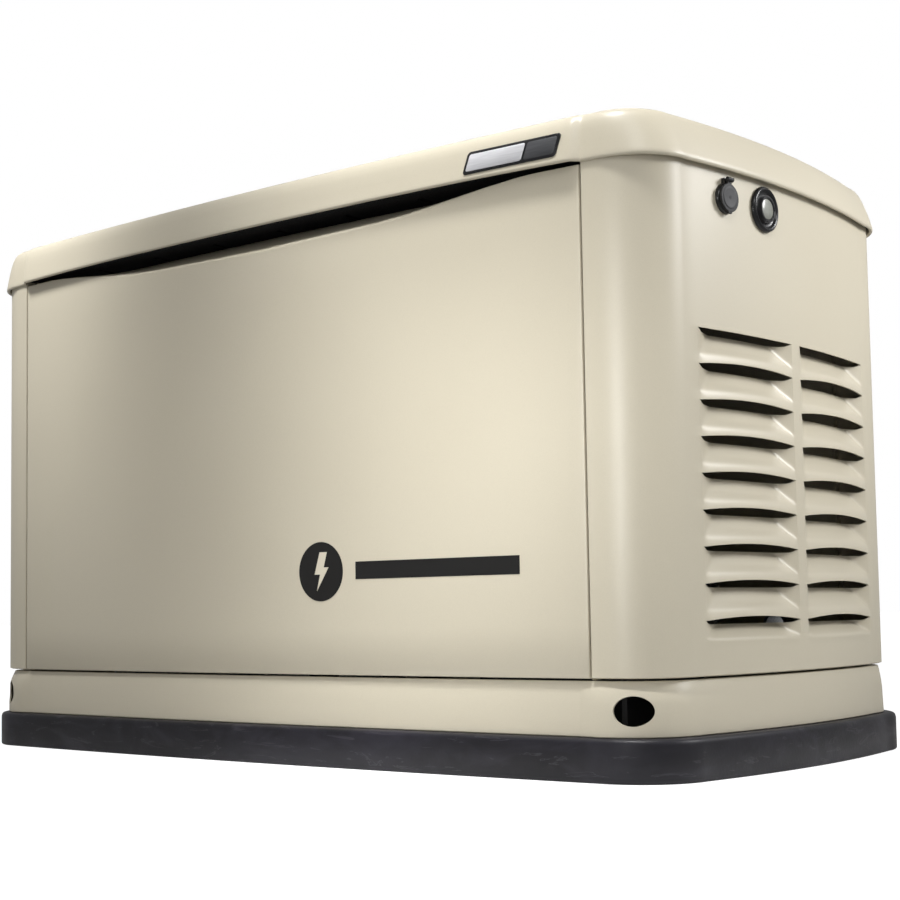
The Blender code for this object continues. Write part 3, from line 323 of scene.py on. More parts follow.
low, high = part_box("mounting_pad")
pad_x, pad_y, pad_top = high.x, high.y, high.z
PAD_CORNER, PAD_REAR_EXTRA = 0.0825, 0.0135
rim = [  # height, inset
    (0.0, 0.0022), (0.0008, 0.0008), (0.0024, 0.0), (0.0405, 0.0), (0.0440, 0.0009), (0.0461, 0.0030),
    (pad_top, 0.0062),
]
rows = []
for z, inset in rim:
    half_y = pad_y - inset
    lap = plan_lap(pad_x - inset, half_y, half_y, PAD_CORNER - inset, 0.0, PAD_REAR_EXTRA)
    rows.append([(x, y, z) for x, y in lap])
pad = loft("pad_slab", rows, cap_first=True, cap_last=True)
POCKET_ALONG, POCKET_ACROSS, PAD_DECK = 0.284, 0.276, 0.010
pocket = block("pocket", (-0.561, -0.269, -0.01), (-0.291, -0.007, pad_top - PAD_DECK))
for offset, count in (((POCKET_ALONG, 0, 0), 4), ((0, POCKET_ACROSS, 0), 2)):
    row = pocket.modifiers.new("row", "ARRAY")
    row.use_relative_offset, row.use_constant_offset = False, True
    row.constant_offset_displace, row.count = offset, count
apply_all(pocket)
cut(pad, pocket)
settle(pad, "enclosure", "pad", composite, "mounting_pad")


# ------------------------------------------------------------------ folded base skirt
# The sheet metal tray that carries everything. It wears the same tan powder coat as the rest,
# its corners flare out below the panels, and a lifting hole is punched near each corner.
def powder_coat(name, tone=1.0):
    """Satin tan powder coat: fine orange peel, and the slightest drift of tone over a panel."""
    finish, tree, shader = nodes_of(name, (0.66, 0.61, 0.49), 0.36)
    drift = ramp(
        tree, cloud(tree, 2.2, 2.0),
        (0.35, (0.585 * tone, 0.535 * tone, 0.420 * tone)),
        (0.65, (0.615 * tone, 0.565 * tone, 0.447 * tone)),
    )
    dust = ramp(tree, cloud(tree, 900.0, 2.0), (0.30, 0.965), (0.60, 1.0))
    tree.links.new(blend_colours(tree, 1.0, drift, dust, "MULTIPLY"), shader.inputs["Base Color"])
    sheen(tree, shader, cloud(tree, 7.0, 3.0), (0.30, 0.34), (0.70, 0.42))
    shader.inputs["Specular IOR Level"].default_value = 0.5
    bump(tree, shader, cloud(tree, 1150.0, 3.0), 0.10, 0.00025)
    return finish


tan = powder_coat("tan powder coat")
low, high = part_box("base_tray")
skirt_x, skirt_y, skirt_low, skirt_top = high.x, high.y, low.z, high.z
wall_x, wall_y = 0.597, 0.3085  # half the length and depth of the panels' faces
SKIRT_CORNER, SKIRT_REAR_EXTRA, SKIRT_SHEET = 0.0800, 0.0160, 0.0022
FLARE, REAR_FLARE, FLARE_FROM, FLARE_EASE, FLARE_FADE = 0.0060, 0.2, 0.478, 0.020, 0.26
FLARE_X, FLARE_Y = 0.47, 0.18  # where the flare spreads from
heights = [  # height, inset, share of the flare
    (skirt_top - 0.0012, 0.0200, 0.0), (skirt_top - 0.0008, 0.0082, 0.0), (skirt_top, 0.0062, 0.0),
    (skirt_top - 0.0006, 0.0048, 0.0), (skirt_top - 0.0026, 0.0042, 0.06), (skirt_top - 0.0065, 0.0036, 0.34),
    (skirt_top - 0.0120, 0.0030, 0.72), (skirt_top - 0.0190, 0.0022, 0.96), (skirt_top - 0.0270, 0.0014, 1.0),
    (0.0640, 0.0008, 0.90), (0.0540, 0.0003, 0.80),
    (skirt_low + 0.0012, 0.0, 0.74), (skirt_low, 0.0014, 0.72),
]
rows = []
for z, inset, flare in heights:
    half_y = skirt_y - inset
    lap = plan_lap(skirt_x - inset, half_y, half_y, SKIRT_CORNER - inset, 0.0, SKIRT_REAR_EXTRA)
    row = []
    for x, y in lap:
        over_corner = min(1.0, max(0.0, (abs(x) - FLARE_FROM) / FLARE_EASE))
        along_end = min(1.0, max(0.0, (wall_y - abs(y)) / FLARE_FADE))
        share = flare * over_corner * (1.0 - along_end) ** 1.5 * (1.0 if y < 0 else REAR_FLARE)
        outward = Vector((x - math.copysign(FLARE_X, x), y - math.copysign(FLARE_Y, y))).normalized()
        spread = outward * FLARE * share
        row.append((x + spread.x, y + spread.y, z))
    rows.append(row)
skirt = loft("base_skirt", rows, cap_last=True)
wall = skirt.modifiers.new("wall", "SOLIDIFY")
wall.thickness, wall.offset = SKIRT_SHEET, -1.0
apply_all(skirt)
HOLE_X, HOLE_Z, HOLE_RADIUS, HOLE_WIDEN = 0.5385, 0.0755, 0.016, 1.2
for side in (-1, 1):
    bpy.ops.mesh.primitive_cylinder_add(
        vertices=48, radius=HOLE_RADIUS, depth=0.8, location=(side * HOLE_X, 0, HOLE_Z),
        rotation=(math.pi / 2, 0, 0), scale=(HOLE_WIDEN, 1, 1),
    )
    cut(skirt, bpy.context.object)
settle(skirt, "enclosure", "panel", tan, "base_tray", angle=30)


# ------------------------------------------------------------------ louvred end panels
# One sheet wraps each end and both its corners. Two columns of louvres are lanced and pressed
# into it: each blade's top is pushed in, and its lower lip arches out over the next slit.
SEAM = 0.4925
ROW_TOP, ROW_PITCH, SLIT, ARCH, LAST_BLADE = 0.4898, 0.0401, 0.0037, 0.0047, 0.1435
COLUMNS = ((-0.204, -0.017), (0.002, 0.200))
FRONT_SLOPE, REAR_SLOPE = 0.46, 0.62
BLADE = ((0.0, -0.0170), (0.05, -0.0160), (0.14, -0.0142), (0.24, -0.0118), (0.34, -0.0094), (0.44, -0.0070),
         (0.53, -0.0047), (0.61, -0.0027), (0.68, -0.0011), (0.75, 0.0), (0.83, 0.0007), (0.92, 0.0012),
         (1.0, 0.0014))
LAST = tuple((share, min(offset, 0.0003)) for share, offset in BLADE[:-1]) + ((1.0, 0.0),)
END_WALL_FROM = 0.5735  # nearer the middle than this, the sheet is corner or front return
TOP_FOLD = ((0.0062, 0.014), (0.0070, 0.003), (0.0058, 0.0))  # rise above the panel, depth inwards
END_SHEET = 0.0018
panel_low, panel_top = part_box("end_panel_right")[0].z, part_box("end_panel_right")[1].z


def end_wall(y):
    """Outer x of the end wall, and its outward normal, at a distance y from the middle."""
    middle = (BULGE_FRONT - REAR_EXTRA) / 2
    half = wall_y - CORNER - BULGE_FRONT + middle
    slope = 2 * BULGE_ENDS * (y - middle) / half**2
    normal = Vector((1.0, slope, 0.0)).normalized()
    return wall_x - BULGE_ENDS * ((y - middle) / half) ** 2, normal


def wrap_stations():
    """Places round the end from the front seam to the rear seam, each with its outward normal."""
    x_turn = wall_x - BULGE_ENDS - CORNER
    y_turn, y_back = wall_y - BULGE_FRONT - CORNER, wall_y - CORNER - REAR_EXTRA
    front = -wall_y + BULGE_FRONT * (SEAM / x_turn) ** 2
    edge_out = Vector((0.06, -1, 0)).normalized()
    stations = [(Vector((SEAM + 0.0004, front + 0.014, 0)), edge_out)]
    stations.append((Vector((SEAM, front + 0.0012, 0)), edge_out))
    for x in (SEAM + 0.0012, (SEAM + x_turn) / 2):
        stations.append((Vector((x, -wall_y + BULGE_FRONT * (x / x_turn) ** 2, 0)), edge_out))
    for i in range(21):
        angle = math.radians(-90 + 90 * i / 20)
        out = Vector((math.cos(angle), math.sin(angle), 0))
        stations.append((Vector((x_turn, -y_turn, 0)) + CORNER * out, out))
    for first, last in COLUMNS:
        ys = [first, first + 0.0008, first + 0.002] + [last - 0.002, last - 0.0008, last]
        ys += [first + 0.004 + (last - first - 0.008) * i / 44 for i in range(45)]
        for y in sorted(ys):
            x, out = end_wall(y)
            stations.append((Vector((x, y, 0)), out))
    for i in range(21):
        angle = math.radians(90 * i / 20)
        out = Vector((math.cos(angle), math.sin(angle), 0))
        place = Vector((x_turn - REAR_EXTRA, y_back, 0)) + (CORNER + REAR_EXTRA) * out
        if place.x > SEAM + 0.0016:
            stations.append((place, out))
    rear_edge = stations[-1][0].y + 0.0004
    stations.append((Vector((SEAM + 0.0012, rear_edge, 0)), Vector((0, 1, 0))))
    stations.append((Vector((SEAM, rear_edge - 0.0012, 0)), Vector((0, 1, 0))))
    stations.append((Vector((SEAM + 0.0004, rear_edge - 0.014, 0)), Vector((0, 1, 0))))
    return stations


def press(y):
    """The column that y is in, how deep its cheeks let the sheet go there, and how far in it is."""
    for first, last in COLUMNS:
        if first <= y <= last:
            across = 2 * (y - first) / (last - first) - 1
            return min(FRONT_SLOPE * (y - first), REAR_SLOPE * (last - y)), 1 - across**2
    return None, 0.0


def profile(curve, share):
    """The curve's value at a share of the way along it."""
    for (a, low_value), (b, high_value) in zip(curve, curve[1:]):
        if share <= b:
            return low_value + (high_value - low_value) * (share - a) / (b - a)
    return curve[-1][1]


def louvred_end(name, side, node):
    """One end sheet, from its top fold down over nine rows of blades, cut for its lock and light."""
    levels = [("wall", panel_top + rise, depth) for rise, depth in TOP_FOLD]
    levels += [("wall", z, 0.0) for z in (0.655, 0.60, 0.55, 0.51, ROW_TOP + 0.004)]
    for row in range(9):
        top = ROW_TOP - row * ROW_PITCH
        levels.append(("edge", top, row))
        levels += [("blade", share, row) for share, _ in BLADE[:-1]]
    levels += [("wall", z, 0.0) for z in (LAST_BLADE, 0.138, 0.125, panel_low + 0.0012)]
    levels += [("wall", panel_low, 0.003), ("wall", panel_low + 0.0008, 0.016)]
    stations = wrap_stations()
    rows, gaps = [], []
    for level, (kind, z, extra) in enumerate(levels):
        row = []
        for number, (place, out) in enumerate(stations):
            limit, arch = press(place.y) if place.x > END_WALL_FROM else (None, 0.0)
            height, offset = z, 0.0
            if kind == "wall":
                offset = -extra
            elif kind == "edge":
                if limit is not None and extra > 0:
                    height += ARCH * arch
                    offset = BLADE[-1][1] * min(1.0, limit / 0.004)
                beyond = press(stations[number + 1][0].y)[0] if number + 1 < len(stations) else None
                if limit is not None and beyond is not None and limit + beyond > 1e-6:
                    gaps.append((level, number))
            else:
                top = ROW_TOP - extra * ROW_PITCH
                foot = LAST_BLADE if extra == 8 else top - ROW_PITCH
                drop = 0.0 if limit is None else SLIT * min(1.0, limit / 0.006)
                height = top - drop + z * (foot - top + drop)
                if limit is not None:
                    depth = profile(LAST if extra == 8 else BLADE, z)
                    if depth < 0:
                        near = max(0.0012 - abs(-depth - limit), 0.0) / 0.0012
                        offset = -max(0.0, min(-depth, limit) - near * near * 0.0003)
                    else:
                        offset = depth * min(1.0, limit / 0.004)
                    if extra < 8:
                        height += ARCH * arch * max(0.0, z - 0.45) / 0.55
            point = place + out * offset
            row.append((side * point.x, point.y, height))
        rows.append(row)
    piece = loft(name, rows, round_trip=False, gaps=gaps)
    middle = max(piece.data.polygons, key=lambda face: side * face.center.x)
    if middle.normal.x * side < 0:
        piece.data.flip_normals()
    sheet = piece.modifiers.new("sheet", "SOLIDIFY")
    sheet.thickness, sheet.offset = END_SHEET, -1.0
    apply_all(piece)
    fittings = [("lock_right_turn" if side > 0 else "lock_left_turn", 0.0118)]
    spots = [(Vector(joints[label]["pos_m"]), radius) for label, radius in fittings]
    if side > 0:
        low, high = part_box("status_bezel")
        spots.append((Vector((high.x, (low.y + high.y) / 2, (low.z + high.z) / 2)), 0.0165))
    for spot, radius in spots:
        bpy.ops.mesh.primitive_cylinder_add(
            vertices=40, radius=radius, depth=0.08, location=spot, rotation=(0, math.pi / 2, 0)
        )
        cut(piece, bpy.context.object)
    return settle(piece, "enclosure", "panel", tan, node, angle=32)


louvred_end("end_sheet_right", 1, "end_panel_right")
louvred_end("end_sheet_left", -1, "end_panel_left")


# ------------------------------------------------------------------ pull-off front panel
# A single bulging sheet with hemmed edges. Its top rolls inwards under the lid, most of all in
# the middle, which leaves the scoop where fingers reach the lid's lip.
low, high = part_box("front_panel")
front_half, front_low, front_top = high.x, low.z, high.z
SCOOP = ((0.0, 0.0285), (0.10, 0.0265), (0.20, 0.0245), (0.25, 0.0215), (0.29, 0.0172), (0.33, 0.0118),
         (0.37, 0.0062), (0.405, 0.0026), (0.43, 0.0012), (1.0, 0.0012))


def roll_start(x):
    """Where the face starts to turn in: this far below the panel's top, eased between the stops."""
    for (a, low_drop), (b, high_drop) in zip(SCOOP, SCOOP[1:]):
        if abs(x) <= b:
            return front_top - (low_drop + (high_drop - low_drop) * (abs(x) - a) / (b - a))


across = [-front_half + 0.0008, -front_half, -front_half, -front_half + 0.0006, -front_half + 0.0022]
across += [front_half * i / 40 for i in range(-39, 40)]
across += [front_half - 0.0022, front_half - 0.0006, front_half, front_half, front_half - 0.0008]
fold = [0.012, 0.0040, 0.0015, 0.0004, 0.0] + [0.0] * 79 + [0.0, 0.0004, 0.0015, 0.0040, 0.012]
columns = []
for x, back in zip(across, fold):
    face = -wall_y + BULGE_FRONT * (x / (wall_x - BULGE_ENDS - CORNER)) ** 2 + back
    start = roll_start(x)
    drop = front_top - start
    radius = min(0.0050, max(0.0011, drop * 0.30))
    column = [(x, face + 0.018, front_low + 0.0006), (x, face + 0.0030, front_low)]
    column += [(x, face + 0.0009, front_low + 0.0003), (x, face, front_low + 0.0018)]
    column += [(x, face, front_low + 0.0018 + (start - front_low - 0.0018) * i / 10) for i in range(1, 11)]
    rise = math.atan2(max(0.0, drop - radius), 0.036)
    for i in range(1, 7):
        angle = (math.pi / 2 - rise) * i / 6
        column.append((x, face + radius * (1 - math.cos(angle)), start + radius * math.sin(angle)))
    _, turn_y, turn_z = column[-1]
    deep, edge_z = face + 0.040 - turn_y, front_top - 0.0004 - turn_z
    column += [(x, turn_y + deep * i / 5, turn_z + edge_z * i / 5) for i in range(1, 6)]
    column.append((x, face - back + 0.046, front_top - 0.0004))
    columns.append(column)
cover = loft("front_cover_sheet", [list(row) for row in zip(*columns)], round_trip=False)
if max(cover.data.polygons, key=lambda face: face.area).normal.y > 0:
    cover.data.flip_normals()
sheet = cover.modifiers.new("sheet", "SOLIDIFY")
sheet.thickness, sheet.offset = 0.0018, -1.0
settle(cover, "front_cover", "panel", tan, "front_panel", angle=35)

# A plain bolt sign and a bar, cut from dark vinyl film and stuck on the front panel. They only
# say that this is an electrical machine.
film, tree, shader = nodes_of("dark vinyl film", (0.014, 0.0135, 0.013), 0.5)
shader.inputs["Specular IOR Level"].default_value = 0.25
sheen(tree, shader, cloud(tree, 60.0, 3.0), (0.3, 0.36), (0.7, 0.46))
bump(tree, shader, cloud(tree, 1400.0, 2.0), 0.05, 0.0001)


def film_cut(name, outline, finish):
    """A flat outline in x and z, filled, cut into strips and laid on the bulging panel."""
    bpy.ops.object.select_all(action="DESELECT")
    bpy.ops.mesh.primitive_circle_add(vertices=len(outline), radius=1, fill_type="NGON")
    piece = bpy.context.object
    piece.name = piece.data.name = name
    for vertex, (x, z) in zip(piece.data.vertices, outline):
        vertex.co = (x, 0.0, z)
    bpy.ops.object.mode_set(mode="EDIT")
    start, end = min(x for x, _ in outline), max(x for x, _ in outline)
    strips = 24
    for i in range(1, strips):
        bpy.ops.mesh.select_all(action="SELECT")
        bpy.ops.mesh.bisect(plane_co=(start + (end - start) * i / strips, 0, 0), plane_no=(1, 0, 0))
    bpy.ops.object.mode_set(mode="OBJECT")
    for vertex in piece.data.vertices:
        x = vertex.co.x
        vertex.co.y = -wall_y + BULGE_FRONT * (x / (wall_x - BULGE_ENDS - CORNER)) ** 2 - 0.00012
    if sum(face.normal.y for face in piece.data.polygons) > 0:
        piece.data.flip_normals()
    skin = piece.modifiers.new("film", "SOLIDIFY")
    skin.thickness, skin.offset = 0.00016, 1.0
    return settle(piece, "front_cover", "black", finish)


sign_x, sign_z, ring = 0.110, 0.234, 0.036
turns = [math.tau * i / 64 for i in range(64)]
disc = [(sign_x + ring * math.cos(angle), sign_z + ring * math.sin(angle)) for angle in turns]
film_cut("sign_disc", disc, film)
bar = [(0.166, 0.2235), (0.404, 0.2235), (0.404, 0.2445), (0.166, 0.2445)]
film_cut("sign_bar", bar, film)
light_film, tree, shader = nodes_of("pale vinyl film", (0.66, 0.61, 0.49), 0.42)
sheen(tree, shader, cloud(tree, 60.0, 3.0), (0.3, 0.36), (0.7, 0.46))
bolt = [
    (-0.0015, 0.0235), (0.0105, 0.0235), (0.0050, 0.0050), (0.0130, 0.0050), (-0.0065, -0.0240),
    (-0.0010, -0.0035), (-0.0100, -0.0035),
]
sign = film_cut("sign_bolt", [(sign_x + x, sign_z + z) for x, z in bolt], light_film)
FILM_OVERLAP = 0.0002
for vertex in sign.data.vertices:
    vertex.co.y -= FILM_OVERLAP


# ------------------------------------------------------------------ lid
# A pressed aluminium lid with rounded shoulders. Along the front its rim steps out into a
# lifting lip, the rim is hemmed, and it overhangs the end panels by a few millimetres.
low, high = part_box("lid_shell")
lid_low, lid_top = low.z, high.z
lid_end, lid_front, lid_rear = 0.6060, 0.3110, 0.3085  # how far the rim reaches each way
LID_SHEET, LID_SAG = 0.0016, 0.0030
shoulders = [  # height, inset of the ends, inset of the front and rear, how far the lip stands out
    (lid_low + 0.0060, 0.0052, 0.0050, 0.0080), (lid_low + 0.0016, 0.0046, 0.0044, 0.0080),
    (lid_low + 0.0001, 0.0030, 0.0028, 0.0080), (lid_low + 0.0003, 0.0012, 0.0010, 0.0080),
    (lid_low + 0.0016, 0.0002, 0.0001, 0.0080), (lid_low + 0.0036, 0.0, 0.0, 0.0080),
    (lid_low + 0.0080, 0.0014, 0.0004, 0.0078),
    (0.6930, 0.0062, 0.0014, 0.0074), (0.7070, 0.0122, 0.0028, 0.0068),
    (0.7150, 0.0160, 0.0044, 0.0062), (0.7200, 0.0188, 0.0064, 0.0055), (0.7238, 0.0216, 0.0092, 0.0046),
    (0.7264, 0.0248, 0.0128, 0.0034), (0.7281, 0.0292, 0.0178, 0.0020), (0.7291, 0.0360, 0.0256, 0.0008),
    (0.7297, 0.0480, 0.0380, 0.0), (0.7303, 0.0850, 0.0700, 0.0), (0.7309, 0.1350, 0.1100, 0.0),
    (0.7314, 0.2050, 0.1600, 0.0), (0.7318, 0.2900, 0.2100, 0.0), (lid_top, 0.4200, 0.2700, 0.0),
]
rows = []
for z, end_inset, front_inset, lip in shoulders:
    corner = max(0.02, CORNER - 0.45 * (end_inset + front_inset))
    lap = plan_lap(lid_end - end_inset, lid_front - front_inset, lid_rear - front_inset, corner, lip)
    low_edge = max(0.0, 1.0 - (z - lid_low) / 0.020)
    row = []
    for x, y in lap:
        lifted = LID_SAG * low_edge * max(0.0, 1 - (x / 0.52) ** 4) if y < -0.27 else 0.0
        row.append((x, y, z + lifted))
    rows.append(row)
lid = loft("lid_pressing", rows, cap_last=True)
if max(lid.data.polygons, key=lambda face: face.center.z).normal.z < 0:
    lid.data.flip_normals()
sheet = lid.modifiers.new("sheet", "SOLIDIFY")
sheet.thickness, sheet.offset = LID_SHEET, -1.0
settle(lid, "lid", "panel", tan, "lid_shell", angle=38)

# Acoustic foam is glued inside the lid. It is nearly black and open-celled, with slots across it.
foam, tree, shader = nodes_of("acoustic foam", (0.012, 0.012, 0.012), 0.98)
cells = cloud(tree, 420.0, 5.0)
tint(tree, shader, cells, (0.35, (0.004, 0.004, 0.004)), (0.62, (0.020, 0.020, 0.021)))
bump(tree, shader, cells, 0.8, 0.0015)
low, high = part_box("lid_liner")
rows = []
layers = ((low.z + 0.006, 0.0015), (low.z + 0.008, 0.0), (high.z + 0.010, 0.0), (high.z + 0.012, 0.002))
for z, inset in layers:
    rows.append([(x, y, z) for x, y in plan_lap(high.x - inset, -low.y - inset, high.y - inset, 0.078)])
liner = loft("foam_liner", rows, cap_first=True, cap_last=True)
SLOT_STEP, SLOT_HALF, SLOT_END, SLOT_DEPTH = 0.12, 0.003, 0.03, 0.011
for i in range(-4, 5):
    left, right = i * SLOT_STEP - SLOT_HALF, i * SLOT_STEP + SLOT_HALF
    slot_cut = block("slot", (left, low.y + SLOT_END, low.z), (right, high.y - SLOT_END, low.z + SLOT_DEPTH))
    cut(liner, slot_cut)
settle(liner, "lid", "foam", foam, "lid_liner")

# The badge is a thin black plate that carries two plain raised fields, silver and dark grey.
# It leans a little to the right, and has no words.
black, tree, shader = nodes_of("black gloss plastic", (0.006, 0.006, 0.007), 0.34)
sheen(tree, shader, cloud(tree, 45.0, 4.0), (0.3, 0.24), (0.7, 0.36))
silver, tree, shader = nodes_of("badge silver", (0.58, 0.58, 0.60), 0.55, 0.15)
brushed = cloud(tree, 500.0, 2.0, (0.05, 1.0, 1.0))
tint(tree, shader, brushed, (0.3, (0.55, 0.55, 0.57)), (0.7, (0.64, 0.64, 0.66)))
slate, tree, shader = nodes_of("badge dark grey", (0.028, 0.028, 0.031), 0.5)
brushed = cloud(tree, 500.0, 2.0, (0.05, 1.0, 1.0))
tint(tree, shader, brushed, (0.3, (0.042, 0.043, 0.047)), (0.7, (0.058, 0.059, 0.064)))
BADGE_LEFT, BADGE_RIGHT, BADGE_LOW, BADGE_HIGH, LEAN = 0.3465, 0.4720, 0.6800, 0.7062, 0.0070


def lip_face(x, z):
    """Outer y of the lid's lip at x and z."""
    for (z0, _, f0, l0), (z1, _, f1, l1) in zip(shoulders[5:], shoulders[6:]):
        if z0 <= z <= z1:
            share = (z - z0) / (z1 - z0)
            inset, lip = f0 + share * (f1 - f0), l0 + share * (l1 - l0)
            break
    turn_x = lid_end - 0.004 - BULGE_ENDS - CORNER
    return -(lid_front - inset) + BULGE_FRONT * (x / turn_x) ** 2 - lip


def badge_plate(name, left, right, low_z, high_z, out, depth, corner, finish):
    """A leaning plate with rounded corners that follows the lip."""
    height = high_z - low_z
    outline = []
    for cx, cz, start in ((right, low_z, -90), (right, high_z, 0), (left, high_z, 90), (left, low_z, 180)):
        mx = cx - math.copysign(corner, cx - (left + right) / 2)
        mz = cz - math.copysign(corner, cz - (low_z + high_z) / 2)
        for i in range(7):
            angle = math.radians(start + 15 * i)
            x, z = mx + corner * math.cos(angle), mz + corner * math.sin(angle)
            outline.append((x + LEAN * ((z - BADGE_LOW) / (BADGE_HIGH - BADGE_LOW) - 0.5), z))
    rows = [[(x, lip_face(x, z) - out + d, z) for x, z in outline] for d in (depth, 0.0003)]
    shrunk = []
    cx, cz = sum(x for x, _ in outline) / len(outline), sum(z for _, z in outline) / len(outline)
    for x, z in outline:
        sx, sz = x + math.copysign(0.0004, cx - x), z + math.copysign(0.0004, cz - z)
        shrunk.append((sx, lip_face(sx, sz) - out, sz))
    piece = loft(name, [*rows, shrunk])
    bpy.ops.object.mode_set(mode="EDIT")
    bpy.ops.mesh.select_all(action="DESELECT")
    shape = bmesh.from_edit_mesh(piece.data)
    shape.verts.ensure_lookup_table()
    for edge in shape.edges:
        if edge.is_boundary and any((v.co - Vector(p)).length < 1e-6 for p in shrunk for v in edge.verts):
            edge.select_set(True)
    bmesh.update_edit_mesh(piece.data)
    bpy.ops.mesh.edge_face_add()
    bpy.ops.mesh.select_all(action="SELECT")
    bpy.ops.mesh.normals_make_consistent(inside=False)
    bpy.ops.object.mode_set(mode="OBJECT")
    return settle(piece, "lid", "badge", finish, angle=40)


rim = badge_plate("badge_rim", BADGE_LEFT, BADGE_RIGHT, BADGE_LOW, BADGE_HIGH, 0.0016, 0.0018, 0.0042, black)
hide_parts("lid_badge")
split = BADGE_LEFT + 0.0795
for name, left, right, finish in (
    ("badge_silver_field", BADGE_LEFT + 0.0034, split, silver),
    ("badge_dark_field", split + 0.0030, BADGE_RIGHT - 0.0034, slate),
):
    badge_plate(name, left, right, BADGE_LOW + 0.0032, BADGE_HIGH - 0.0032, 0.0018, 0.0008, 0.0026, finish)


# ------------------------------------------------------------------ hinge and plain steelwork
# Zinc-plated steel: the continuous hinge behind the lid, the lock cams and catches, the divider
# and the cradle. Zinc is a cold grey with a faint spangle.
zinc, tree, shader = nodes_of("zinc plate", (0.52, 0.53, 0.54), 0.38, 0.9)
spangle = tree.nodes.new("ShaderNodeTexVoronoi")
spangle.inputs["Scale"].default_value = 160.0
place = tree.nodes.new("ShaderNodeTexCoord")
tree.links.new(place.outputs["Object"], spangle.inputs["Vector"])
tint(tree, shader, spangle.outputs["Distance"], (0.0, (0.44, 0.45, 0.47)), (0.9, (0.58, 0.59, 0.60)))
sheen(tree, shader, cloud(tree, 30.0, 5.0), (0.3, 0.30), (0.7, 0.48))


def finish_node(finish, *names):
    """A CAD piece whose shape is right keeps it and takes this finish."""
    for name in names:
        node = frame["nodes"][name]
        node.data.materials.clear()
        node.data.materials.append(finish)


finish_node(zinc, "hinge_pin", "lid_catch_right", "lid_catch_left", "lock_barrel_right", "lock_barrel_left",
            "divider_wall", "engine_cradle")
finish_node(tan, "rear_panel", "hinge_leaf", "hinge_wing")


# ------------------------------------------------------------------ side locks
# A round black lock body with a hinge ear on top. A soft cap on that ear covers the key way;
# its face is dished, dark grey and slightly dusty, and it has a small pull tab below.
rubber, tree, shader = nodes_of("black rubber", (0.010, 0.010, 0.011), 0.62)
tint(tree, shader, cloud(tree, 90.0, 5.0), (0.35, (0.007, 0.007, 0.008)), (0.70, (0.016, 0.016, 0.018)))
bump(tree, shader, cloud(tree, 700.0, 3.0), 0.2, 0.0002)
cap_grey, tree, shader = nodes_of("cap face rubber", (0.020, 0.020, 0.022), 0.6)
tint(tree, shader, cloud(tree, 120.0, 6.0), (0.35, (0.016, 0.016, 0.018)), (0.70, (0.030, 0.030, 0.033)))
bump(tree, shader, cloud(tree, 800.0, 3.0), 0.2, 0.0002)


def turned_piece(name, profile_points, steps=48):
    """A closed turning about X: the profile's (x, radius) points are drawn and spun."""
    bpy.ops.object.select_all(action="DESELECT")
    angles = [math.tau * i / steps for i in range(steps)]
    rows = [[(x, r * math.cos(angle), r * math.sin(angle)) for angle in angles] for x, r in profile_points]
    piece = loft(name, rows)
    bpy.ops.object.mode_set(mode="EDIT")
    bpy.ops.mesh.select_all(action="DESELECT")
    shape = bmesh.from_edit_mesh(piece.data)
    for end in (profile_points[0][0], profile_points[-1][0]):
        bpy.ops.mesh.select_all(action="DESELECT")
        for edge in shape.edges:
            edge.select_set(edge.is_boundary and all(abs(v.co.x - end) < 1e-6 for v in edge.verts))
        bmesh.update_edit_mesh(piece.data)
        bpy.ops.mesh.edge_face_add()
        shape = bmesh.from_edit_mesh(piece.data)
    bpy.ops.mesh.select_all(action="SELECT")
    bpy.ops.mesh.normals_make_consistent(inside=False)
    bpy.ops.object.mode_set(mode="OBJECT")
    return piece


def join_shapes(*shapes):
    """Several touching solids made one."""
    first, *others = shapes
    for other in others:
        cut(first, other, "UNION")
    return first


def soften(piece, width):
    """Rounds a piece's sharp edges."""
    round_off = piece.modifiers.new("soften", "BEVEL")
    round_off.width, round_off.segments, round_off.limit_method = width, 2, "ANGLE"
    round_off.angle_limit = math.radians(50)


def seat_at(piece, spot, out):
    """Turns a piece drawn about the origin, facing +X, to face along out at its spot."""
    turned = Matrix.Rotation(math.atan2(out.y, out.x), 4, "Z")
    piece.data.transform(Matrix.Translation(spot) @ turned)
    return piece


